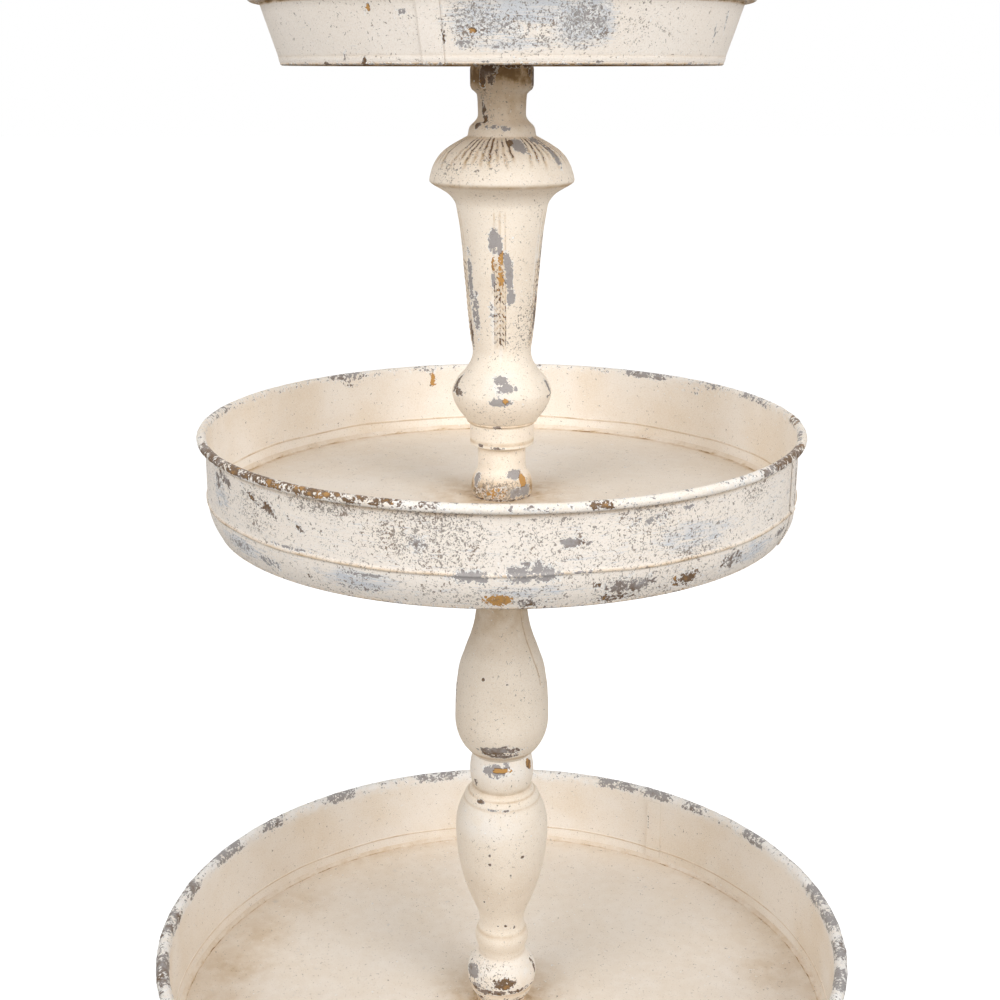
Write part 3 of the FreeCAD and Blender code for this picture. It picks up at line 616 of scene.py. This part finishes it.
def trayWall(tray, material):
    shape = trayShapes[tray]
    m = trayMeasures(tray)
    piece = spinSection(tray + "TrayWall", wallSection(m), traySteps, closed=True)
    inside = [point for point in wallInside(m) if point[1] > m["floorZ"] + 2 * mm]
    laps = [lapStrip("outerLap", m, wallOutside(m), degrees, lapGauge) for degrees in shape["outerSeams"]]
    laps += [lapStrip("innerLap", m, inside, degrees, -lapGauge) for degrees in shape["innerSeams"]]
    joinInto(piece, laps)
    paintWall(piece, m, shape)
    roughenWall(piece, m, shape)
    smoothByAngle(piece, wallSmooth)
    dress(piece, material, "painted_sheet_steel", *shape["walls"])
    print("tray wall", tray, len(piece.data.polygons))


# a disc with its flange turned down inside the wall, and the rough joint round it
def trayFloor(tray, material):
    shape = trayShapes[tray]
    m = trayMeasures(tray)
    edge, level, under = m["floorR"], m["floorZ"], m["floorZ"] - sheetGauge
    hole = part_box("tie_rod")[1].x + rodGap
    flange = float(wallRadius(m, m["flangeZ"])) - sheetGauge - 0.1 * mm
    top = between((hole, level), (edge, level), 60) + [(edge, level)]
    below = [(flange, m["flangeZ"]), (flange - sheetGauge, m["flangeZ"]), (edge - 1.5 * sheetGauge, under)]
    below += between((edge - 3 * sheetGauge, under), (hole, under), 8) + [(hole, under)]
    piece = spinSection(tray + "TrayFloor", top + below, floorSteps, closed=True)
    lip = level + 2.2 * jointBead
    joint = [(edge - 2.2 * jointBead, level - 0.1 * mm), (edge - 1.3 * jointBead, level + 0.5 * jointBead)]
    joint += [(edge - 0.4 * jointBead, level + 1.3 * jointBead)]
    joint += [(float(wallRadius(m, lip)) - sheetGauge + 0.1 * mm, lip)]
    fillet = spinSection("jointFillet", joint, traySteps)
    bearing, radius, height = readRound(fillet)
    loose = np.where(height < level + 1.5 * jointBead, 1.0, 0.0)
    swell = 0.7 * mm * loose * ripple(bearing, height, shape["seed"], (41, 67, 97, 129))
    writeRound(fillet, bearing, radius - swell, height)
    joinInto(piece, [fillet])
    bearing, radius, height = readRound(piece)
    middle = near(radius, 0.55 * edge, 0.42 * edge)
    sag = 0.5 * mm * middle * ripple(bearing, radius, shape["seed"], (1, 2, 3), 0.02)
    writeRound(piece, bearing, radius, height + sag)
    smoothByAngle(piece, floorSmooth)
    uneven = 0.7 + 0.3 * ripple(bearing, radius, shape["seed"], (1, 2, 4, 7))
    broken = 0.7 + 0.3 * ripple(bearing, radius, shape["seed"], (9, 23, 41))
    grime = 1.7 * near(radius, edge - 2.0 * jointBead, 1.5 * mm) * broken
    # darker towards the wall, partly brown wash and partly painted shade, and darker round the post as
    # painted shade
    grime = np.maximum(grime, 0.5 * uneven * near(radius, edge, 45 * mm) ** 1.5)
    grime = np.maximum(grime, 0.75 * near(radius, shape["postRadius"] * mm, 75 * mm) ** 1.4)
    for degrees, reach, spread, strength in shape["darkPatches"]:
        across = wrapped(bearing - math.radians(degrees)) * radius
        off = np.hypot(across, radius - reach * mm) / (spread * mm)
        grime = np.maximum(grime, strength * uneven * np.exp(-off ** 2))
    setMasks(piece, worn=0.0, flecks=0.15, grime=np.maximum(grime, 0.2 * uneven))
    dress(piece, material, "painted_sheet_steel", tray + "_tray_floor")
    print("tray floor", tray, len(piece.data.polygons))


# Posts and feet, turned to the outline of the solid
# trim: height and how far the outline moves out, in mm; cove: height and radius in mm;
# bands of brown: height and reach in mm, amount; dirt in turned grooves, and painted shade under the trays,
# under the cap's lip and where the upper post stands on the middle tray

postShapes = {
    "upper_post": {
        "name": "upperPost", "gap": 2.9, "steps": 160, "fleckBase": 0.26,
        "trim": [
            (617.9, 0.0), (618.6, -1.4), (623, -1.9), (628, -1.3), (635, -0.1), (642, 0.7), (649, -0.4),
            (657, -0.8), (663, 0.7), (677, 0.35), (687, 0.4), (700, 0.2), (715, -0.2), (725, -0.7),
            (735, -0.75), (755, -1.0), (763, -0.9), (772, -0.7), (781, 0.0), (815, 0.2), (820, 0.9),
            (827, 1.5), (832, 1.2), (836, 0.0), (840, -0.8), (845, 0.0), (853, 0.8), (857, 0.2),
            (872, 0.5), (876, 0.0), (880, 0.7), (893, 0.7), (894, 0.0),
        ],
        "cove": [
            (781.6, 34.5), (786.3, 35.3), (790.9, 36.1), (793.2, 37.1), (795.5, 38.6), (797.8, 40.6),
            (800.1, 43.2), (802.4, 47.0), (804.7, 51.2), (806.6, 54.4), (808.2, 56.3), (809.2, 56.6),
        ],
        "palesAndHighlight": [
            # the narrow strip at -2.5 degrees, between the carved cords, is a painted highlight; the rest
            # is undercoat worn bare
            (-12, 703, 6, 36, 0.9), (-2.5, 697, 3, 44, 0.8), (0, 652, 26, 18, 0.6),
            (62, 735, 6, 70, 0.6),
        ],
        "chips": [
            (-37, 887, 6, 16, 0.95, 0.42), (-24, 891, 12, 8, 0.8, 0.42), (-20, 884, 6, 8, 0.75, 0.42),
            (20, 895, 70, 4, 0.7, 0.42), (76, 884, 7, 14, 0.8, 0.42), (60, 890, 4, 6, 0.8, 0.42),
            (-48, 862, 6, 16, 0.58, 0.42), (-38, 855, 4, 8, 0.66, 0.42), (-18, 850, 12, 3.5, 0.7, 0.1),
            (7, 849, 7, 4, 0.8, 0.15), (-50, 851, 7, 6, 0.75, 0.35), (19.5, 836.5, 10, 10, 0.95, 0.0),
            (11, 839, 6, 4, 0.8, 0.5), (57, 829, 8, 20, 0.75, 0.0), (50, 840, 10, 5, 0.8, 0.05),
            (-11, 766, 10, 18, 0.95, 0.0), (-3, 762, 5, 16, 0.9, 0.0), (-1.5, 745, 6, 38, 0.72, 0.8),
            (-12.5, 747, 5, 15, 0.75, 0.8), (7, 750, 7, 18, 0.85, 0.0), (11, 737, 6.5, 24, 0.9, 0.0),
            (14.3, 722, 8, 13, 0.95, 0.0), (-16.5, 709, 8, 24, 0.42, 0.0),
            (-13, 736, 3.5, 14, 0.75, 0.0), (-57, 735, 7, 46, 0.75, 0.05), (-49, 706, 9, 40, 0.64, 0.0),
            (-68, 690, 5, 26, 0.65, 0.3), (76, 746, 5, 46, 0.62, 0.3), (70, 705, 5, 44, 0.55, 0.3),
            (-3, 657, 13, 7, 0.88, 0.0), (5.5, 651.5, 12, 8, 0.88, 0.0), (-6, 648, 15, 12, 0.43, 0.0),
            (-2, 640.5, 17, 7, 0.82, 0.0), (3.5, 641.5, 6, 5, 0.98, 0.9), (-62, 645, 15, 7, 0.8, 0.4),
            (-75, 650, 8, 14, 0.8, 0.4), (75, 648, 6, 14, 0.75, 0.2), (68, 641, 9, 3, 0.78, 0.3),
            (75, 626, 7, 12, 0.72, 0.25), (17, 651, 4, 4, 0.8, 0.0), (-7, 617.5, 8, 3, 0.85, 0.35),
            (-8, 600, 12, 3, 0.8, 0.35), (-42, 601.5, 7, 4, 0.8, 0.35), (-60, 571, 9, 12, 0.8, 0.1),
            (29, 576.5, 13, 7.5, 0.98, 0.0), (46, 571, 8, 14, 0.95, 0.9), (50, 563, 13, 12, 0.88, 0.05),
            (30, 562, 16, 9, 0.75, 0.1), (-14, 562, 36, 12, 0.5, 0.75), (0, 556, 200, 2, 0.6, 0.35),
            (150, 740, 8, 40, 0.7, 0.2), (-130, 830, 16, 10, 0.7, 0.2), (160, 640, 20, 12, 0.7, 0.1),
        ],
        "flecks": [
            (-50, 818, 40, 26, 0.8), (-22, 826, 50, 30, 0.7), (50, 700, 34, 60, 0.85),
            (-10, 630, 60, 30, 0.5), (-10, 563, 75, 20, 1.5), (-40, 875, 20, 40, 0.8),
            (60, 800, 40, 60, 0.4), (20, 690, 30, 40, 0.6),
        ],
        "creasesAndShade": [
            # painted shade: 807 under the cap's lip, 868 and 889 under the top tray (889 also dark patches
            # on the collar), 555 where the foot meets the middle tray
            (602.5, 2.0, 0.8), (618, 2.5, 0.75), (807, 2.2, 0.8), (842, 3.0, 0.5), (889, 20.0, 1.3),
            (868, 34, 0.66), (555, 5.0, 1.0), (563, 14.0, 1.0), (596, 4.0, 0.3),
        ],
    },
    "lower_post": {
        "name": "lowerPost", "gap": 2.7, "steps": 136, "fleckBase": 0.14,
        "trim": [
            (95, 0.0), (106, 0.9), (114, 1.2), (122, 0.2), (128, 0.2), (135, 1.2), (142, 1.7),
            (149, 0.5), (156, 0.0), (200, 0.4), (260, 0.5), (290, 0.0), (324, 0.0), (332, 0.4),
            (340, 0.4), (362, 0.0), (377, 0.4), (385, 0.9), (392, 0.9), (400, 1.3), (407, 1.2),
            (414, 0.4), (429, -0.3), (443, 0.4), (450, 0.8), (500, 0.0),
        ],
        "cove": [], "palesAndHighlight": [(0, 112, 200, 26, 0.6), (-25, 268, 60, 26, 0.5), (0, 315, 160, 24, 0.5)],
        "chips": [
            (-5, 339, 38, 9, 0.9, 0.33), (3, 332.5, 26, 5, 0.85, 0.33), (-22, 334, 12, 3, 0.75, 0.35),
            (-14, 315, 24, 12, 0.8, 0.0), (-3, 315.5, 19, 6, 0.98, 0.95), (9, 319, 7, 7, 0.82, 0.0),
            (61, 316, 8, 9, 0.95, 0.6), (-55, 300, 5, 8, 0.75, 0.4), (-36, 285, 9, 3, 0.85, 0.3),
            (-14, 280.5, 11, 2.4, 0.75, 0.2), (8, 280.5, 9, 2.2, 0.7, 0.2),
            (-15, 241, 2.6, 2.6, 1.0, 0.4), (-15, 232, 2.6, 2.6, 1.0, 0.4),
            (27, 238, 3.2, 3.2, 1.0, 0.4), (12, 221, 2.4, 2.4, 0.9, 0.4),
            (-31, 188, 2.6, 2.6, 0.95, 0.4), (10, 160, 2.6, 2.6, 1.0, 0.4),
            (34, 157, 3.2, 3.2, 1.0, 0.4), (-10, 160, 2.2, 2.2, 0.9, 0.4),
            (-62, 111, 20, 14, 0.85, 0.15), (6, 107.5, 22, 11, 0.82, 0.45),
            (-44, 100, 24, 10, 0.58, 0.1), (76, 112, 5, 16, 0.75, 0.4), (-10, 98, 110, 5, 0.68, 0.35),
            (0, 84, 160, 14, 0.5, 0.4), (-35, 96, 20, 5, 0.7, 0.3), (-25, 403, 3, 3, 0.95, 0.4),
            (7, 400, 3, 2.4, 0.8, 0.4), (17, 520, 3, 3, 1.0, 0.4), (-80, 380, 4, 30, 0.5, 0.3),
            (160, 360, 20, 14, 0.7, 0.1), (-150, 300, 16, 10, 0.7, 0.5), (130, 250, 14, 20, 0.6, 0.1),
        ],
        "flecks": [
            (-25, 365, 50, 50, 0.35), (40, 400, 40, 60, 0.3), (-40, 112, 60, 30, 0.8),
            (0, 250, 60, 80, 0.3),
        ],
        "creasesAndShade": [
            # painted shade: 532 and 470 under the middle tray; 200 only darkens a wide band
            (328, 3.0, 0.75), (292, 4.0, 0.6), (149, 3.0, 0.45), (126, 3.0, 0.3), (95, 5.0, 0.5),
            (76, 10.0, 0.75), (532, 75.0, 0.95), (470, 60.0, 0.75), (200, 40.0, 0.15),
        ],
    },
}
# bearings in degrees, heights and depths in mm, the fans' pitch in radians
carvedFans = {
    "count": 5, "first": -18.0, "grooves": 4.5, "pitch": 0.1, "depth": 1.3, "low": 818.0, "high": 844.0,
    "spread": 0.35, "wornLow": 0.52, "wornMore": 0.4, "wornFrom": 826.0, "wornOver": 12.0,
}
carvedBraids = {
    "count": 5, "first": -3.0, "apart": 4.7, "width": 3.2, "height": 0.7, "twist": 5.0,
    "low": 678.0, "high": 752.0, "lineTop": 790.0,
}
scribedRing = {"level": 283.0, "reach": 3.0, "height": 0.9}
splitLine = {
    "bearing": 48.0, "lean": 0.2, "low": 392.0, "high": 512.0, "width": 1.2, "depth": 0.5,
    "leanFrom": 57.0, "leanOver": 60.0,
}
# corner, sharp and smooth are angles in degrees, crease a share, the rest and the foot's sizes in mm
turning = {
    "corner": 25.0, "sharp": 28.0, "smooth": 40.0, "crease": 0.8, "core": 15.0,
    "wobble": 0.18, "wobbleRadius": 60.0, "wobbleReach": 42.0,
}
footShape = {"gap": 2.0, "steps": 48, "wornRadius": 25.0, "wornReach": 6.0, "dirtReach": 12.0}


def turnedOutline(nodeName, centre, boreRadius):
    points = {}
    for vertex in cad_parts[nodeName].data.vertices:
        x, y, z = vertex.co.x - centre[0], vertex.co.y - centre[1], vertex.co.z
        if abs(y) < 0.01 * mm and x > boreRadius + 0.5 * mm:
            points[(round(z / (0.01 * mm)), round(x / (0.01 * mm)))] = (x, z)
    return [points[key] for key in sorted(points)]


# outline points about one gap apart, with every corner kept
def evenOutline(outline, gap):
    kept = [outline[0]]
    for before, point, after in zip(outline, outline[1:], outline[2:]):
        rise = math.atan2(after[1] - point[1], after[0] - point[0])
        turn = abs(wrapped(rise - math.atan2(point[1] - before[1], point[0] - before[0])))
        if math.dist(kept[-1], point) > 0.7 * gap or turn > math.radians(turning["corner"]):
            kept.append(point)
    kept.append(outline[-1])
    fine = []
    for start, end in zip(kept, kept[1:]):
        fine += between(start, end, max(1, round(math.dist(start, end) / gap)))
    return fine + [kept[-1]]


def turnedPiece(name, nodeName, centre, boreRadius, gap, steps):
    outline = turnedOutline(nodeName, centre, boreRadius)
    fine = evenOutline(outline, gap)
    section = [(boreRadius, fine[0][1])] + fine + [(boreRadius, fine[-1][1])]
    piece = spinSection(name, section, steps, centre=centre)
    bpy.ops.object.mode_set(mode="EDIT")
    bpy.ops.mesh.select_mode(type="EDGE")
    bpy.ops.mesh.select_all(action="DESELECT")
    bpy.ops.mesh.edges_select_sharp(sharpness=math.radians(turning["sharp"]))
    bpy.ops.transform.edge_crease(value=turning["crease"])
    bpy.ops.mesh.select_mode(type="VERT")
    bpy.ops.object.mode_set(mode="OBJECT")
    applyModifier(piece, "SUBSURF", {"levels": 1, "render_levels": 1})
    print("turned", name, len(outline), len(fine), len(piece.data.polygons))
    return piece


# fans of grooves on the cap, each groove running down the slope
def fanDepth(bearing, height):
    z = height / mm
    window = np.clip((z - carvedFans["low"]) / 10, 0, 1) * np.clip((carvedFans["high"] - z) / 3, 0, 1)
    run = (carvedFans["high"] - z) / (carvedFans["high"] - carvedFans["low"])
    pitch = carvedFans["pitch"] * (1.0 + carvedFans["spread"] * np.clip(run, 0, 1))
    depth = np.zeros_like(bearing)
    for i in range(carvedFans["count"]):
        off = wrapped(bearing - math.radians(carvedFans["first"]) - i * fullTurn / carvedFans["count"])
        groove = off / pitch + 0.06 * np.sin(0.9 * z + 5 * i)
        number = np.round(groove)
        fan = np.where(np.abs(number) <= carvedFans["grooves"], 1.0, 0.0)
        reach = np.clip(1.0 + 0.25 * np.sin(2.7 * number + i) - run, 0, 0.25) / 0.25
        cut = np.clip(0.5 + 0.5 * np.cos(fullTurn * groove), 0, 1) ** 2
        depth = np.maximum(depth, fan * cut * reach * (0.8 + 0.2 * np.sin(1.9 * number)))
    return depth * window


# pairs of twisted cords carved down the taper, plain fine lines above them
def braidHeight(bearing, radius, height):
    z = height / mm
    braids = np.clip((z - carvedBraids["low"]) / 8, 0, 1) * np.clip((carvedBraids["high"] - z) / 4, 0, 1)
    lines = np.clip((z - carvedBraids["high"]) / 4, 0, 1) * np.clip((carvedBraids["lineTop"] - z) / 6, 0, 1)
    lift = np.zeros_like(bearing)
    groove = np.zeros_like(bearing)
    cords = np.zeros_like(bearing)
    for i in range(carvedBraids["count"]):
        middle = math.radians(carvedBraids["first"]) + i * fullTurn / carvedBraids["count"]
        off = wrapped(bearing - middle) * radius / mm
        for side in (-1, 1):
            across = off - side * carvedBraids["apart"] / 2
            body = np.clip(1.0 - (across / (carvedBraids["width"] / 2)) ** 2, 0, 1)
            twist = np.cos(fullTurn * (z + side * 1.2 * across) / carvedBraids["twist"])
            lift = np.maximum(lift, body * (braids * (0.6 + 0.4 * twist) + 0.25 * lines))
            groove = np.maximum(groove, braids * body * np.clip(-twist, 0, 1))
            edge = near(np.abs(across), carvedBraids["width"] / 2 + 0.3, 0.8)
            gaps = 0.75 + 0.25 * np.sin(1.3 * z + 4 * side + i) * np.sin(0.37 * z + i)
            groove = np.maximum(groove, (braids * gaps + 0.45 * lines) * edge)
            cords = np.maximum(cords, braids * body)
    return lift * carvedBraids["height"] * mm, groove, cords


def trimPost(piece, nodeName):
    shape = postShapes[nodeName]
    bearing, radius, height = readRound(piece)
    z = height / mm
    worn, tint = layMarks(bearing, radius, height, shape["chips"])
    flecks = np.maximum(layMarks(bearing, radius, height, shape["flecks"])[0], shape["fleckBase"])
    grime = np.full_like(bearing, 0.05)
    for level, reach, strength in shape["creasesAndShade"]:
        grime = np.maximum(grime, strength * near(z, level, reach))
    free = near(radius, turning["wobbleRadius"] * mm, turning["wobbleReach"] * mm)
    radius = radius + turning["wobble"] * mm * free * ripple(bearing, height, 1.9, (2, 3, 5), 0.03)
    outer = radius > turning["core"] * mm
    levels, offsets = zip(*shape["trim"])
    radius = radius + mm * np.interp(z, levels, offsets) * outer
    if shape["cove"]:
        levels, radii = zip(*shape["cove"])
        inCove = outer & (z > levels[0]) & (z < levels[-1])
        radius = np.where(inCove, mm * np.interp(z, levels, radii), radius)
    if nodeName == "upper_post":
        depth = fanDepth(bearing, height)
        climb = np.clip((z - carvedFans["wornFrom"]) / carvedFans["wornOver"], 0, 1)
        cut = depth * (carvedFans["wornLow"] + carvedFans["wornMore"] * climb)
        lift, groove, cords = braidHeight(bearing, radius, height)
        carved = np.maximum(cut, 0.78 * groove)
        tint = np.where(carved > worn, 0.5, tint)
        worn = np.maximum(worn, carved)
        grime = np.maximum(grime, np.maximum(1.5 * np.maximum(depth, groove), 0.4 * cords))
        radius = radius - carvedFans["depth"] * mm * depth + lift
    else:
        ring = near(z, scribedRing["level"], scribedRing["reach"])
        radius = radius + scribedRing["height"] * mm * np.sqrt(ring)
        besideRing = near(np.abs(z - scribedRing["level"]), scribedRing["reach"] + 0.3, 1.2)
        grime = np.maximum(grime, 0.6 * besideRing)
        below = splitLine["high"] - splitLine["leanFrom"] - z
        run = splitLine["lean"] * np.clip(below / splitLine["leanOver"], 0, 1)
        off = wrapped(bearing - math.radians(splitLine["bearing"]) - run) * radius / mm
        inside = np.where((z > splitLine["low"]) & (z < splitLine["high"]), 1.0, 0.0)
        crack = near(off, 0.0, splitLine["width"]) * inside
        grime = np.maximum(grime, 0.9 * crack)
        radius = radius - splitLine["depth"] * mm * crack
    writeRound(piece, bearing, radius, height)
    pale = layMarks(bearing, radius, height, shape["palesAndHighlight"])[0]
    setMasks(piece, worn=worn, tint=tint, flecks=flecks, grime=grime, pale=pale)


def turnedPost(nodeName, boreRadius, material):
    shape = postShapes[nodeName]
    piece = turnedPiece(shape["name"], nodeName, (0.0, 0.0), boreRadius, shape["gap"] * mm, shape["steps"])
    trimPost(piece, nodeName)
    smoothByAngle(piece, turning["smooth"])
    dress(piece, material, "painted_turned_wood", nodeName)


def turnedFoot(nodeName, name, material):
    low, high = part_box(nodeName)
    centre = ((low.x + high.x) / 2, (low.y + high.y) / 2)
    boltLow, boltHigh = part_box(nodeName.replace("foot", "foot_bolt"))
    bore = (boltHigh.x - boltLow.x) / 2
    piece = turnedPiece(name, nodeName, centre, bore, footShape["gap"] * mm, footShape["steps"])
    bearing, radius, height = readRound(piece, centre)
    worn = 0.5 * near(radius, footShape["wornRadius"] * mm, footShape["wornReach"] * mm)
    dirt = 0.25 + 0.5 * near(height, 0.0, footShape["dirtReach"] * mm)
    setMasks(piece, worn=worn, tint=0.3, flecks=0.4, grime=dirt)
    smoothByAngle(piece, turning["smooth"])
    dress(piece, material, "painted_turned_wood", nodeName)


print("pieces start")
steel = dullSteel("dulledSteel")
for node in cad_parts.values():
    node.data.materials.clear()
    node.data.materials.append(steel)

sheetPaint = chalkPaint("chalkPaintOnSheet", sheetLook)
floorPaint = chalkPaint("chalkPaintOnFloor", floorLook)
woodPaint = chalkPaint("chalkPaintOnWood", woodLook)
for tray in trayShapes:
    trayWall(tray, sheetPaint)
    trayFloor(tray, floorPaint)
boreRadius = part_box("tie_rod")[1].x + rodGap
for nodeName in postShapes:
    turnedPost(nodeName, boreRadius, woodPaint)
for number in (1, 2, 3, 4):
    turnedFoot("foot_%d" % number, "foot%d" % number, woodPaint)

# Studio

# the photograph's eye: place in m, tilt down in degrees, focal length and width of the picture in pixels
camera = {
    "aside": -0.0015, "back": 1.1615, "height": 0.890, "tilt": 16.33,
    "focalPixels": 1461.0, "imagePixels": 1000.0,
}
lens = bpy.data.cameras.new("camera")
lens.sensor_width = 36.0
lens.lens = camera["focalPixels"] / camera["imagePixels"] * lens.sensor_width
eye = bpy.data.objects.new("camera", lens)
bpy.context.scene.collection.objects.link(eye)
eye.location = (camera["aside"], -camera["back"], camera["height"])
eye.rotation_euler = (math.radians(90 - camera["tilt"]), 0, 0)
bpy.context.scene.camera = eye

# matt pale floor that takes the shadow, lifted towards white for the eye alone: width in m
paleFloor = {"width": 40.0, "colour": "#a8a7a6", "roughness": 0.9, "glow": 0.88}
bpy.ops.object.select_all(action="DESELECT")
bpy.ops.mesh.primitive_plane_add(size=paleFloor["width"], location=(0, 0, 0))
studioFloor = bpy.context.active_object
studioFloor.name = "studioFloor"
floorMaterial, tree, shader = newMaterial("paleStudioFloor")
shader.inputs["Base Color"].default_value = linear(paleFloor["colour"])
shader.inputs["Roughness"].default_value = paleFloor["roughness"]
seen = addNode(tree, "LightPath", out="Is Camera Ray")
glow = addNode(tree, "Math", {0: seen, 1: paleFloor["glow"]}, operation="MULTIPLY")
shader.inputs["Emission Color"].default_value = (1, 1, 1, 1)
tree.links.new(glow, shader.inputs["Emission Strength"])
studioFloor.data.materials.append(floorMaterial)

# white all round for the eye and for gloss, lower for the light that it sheds
studioWorld = {"shed": 0.405, "seen": 1.0}
world = bpy.data.worlds.new("studioWorld")
bpy.context.scene.world = world
world.use_nodes = True
tree = world.node_tree
shown = addNode(tree, "LightPath", out="Is Camera Ray")
glossy = addNode(tree, "LightPath", out="Is Glossy Ray")
shown = addNode(tree, "Math", {0: shown, 1: glossy}, operation="MAXIMUM")
level = addNode(tree, "MapRange", {"Value": shown, 3: studioWorld["shed"], 4: studioWorld["seen"]})
background = tree.nodes["Background"]
background.inputs["Color"].default_value = (1, 1, 1, 1)
tree.links.new(level, background.inputs["Strength"])

# large soft boxes in front of the table, above it and behind it, near enough to fall off downwards:
# place and width in m, power in W
studioLights = [
    ("leftLight", (-1.25, -1.43, 1.61), 1.4, 25.0),
    ("rightLight", (1.25, -1.43, 1.61), 1.4, 30.0),
    ("frontLight", (0.0, -2.6, 1.5), 1.2, 2.5),
    ("topLight", (0.0, -0.2, 3.0), 2.4, 4.0),
    ("backLight", (0.0, 2.4, 1.5), 1.6, 8.0),
]
lightAim = Vector((0.0, 0.0, 1.1))
for name, place, width, power in studioLights:
    light = bpy.data.lights.new(name, "AREA")
    light.energy = power
    light.size = width
    holder = bpy.data.objects.new(name, light)
    bpy.context.scene.collection.objects.link(holder)
    holder.location = place
    holder.rotation_euler = (lightAim - holder.location).to_track_quat("-Z", "Y").to_euler()
    holder.visible_camera = False
print("studio", len(studioLights), "lights")

bpy.context.scene.view_settings.view_transform = "Standard"

print("done")
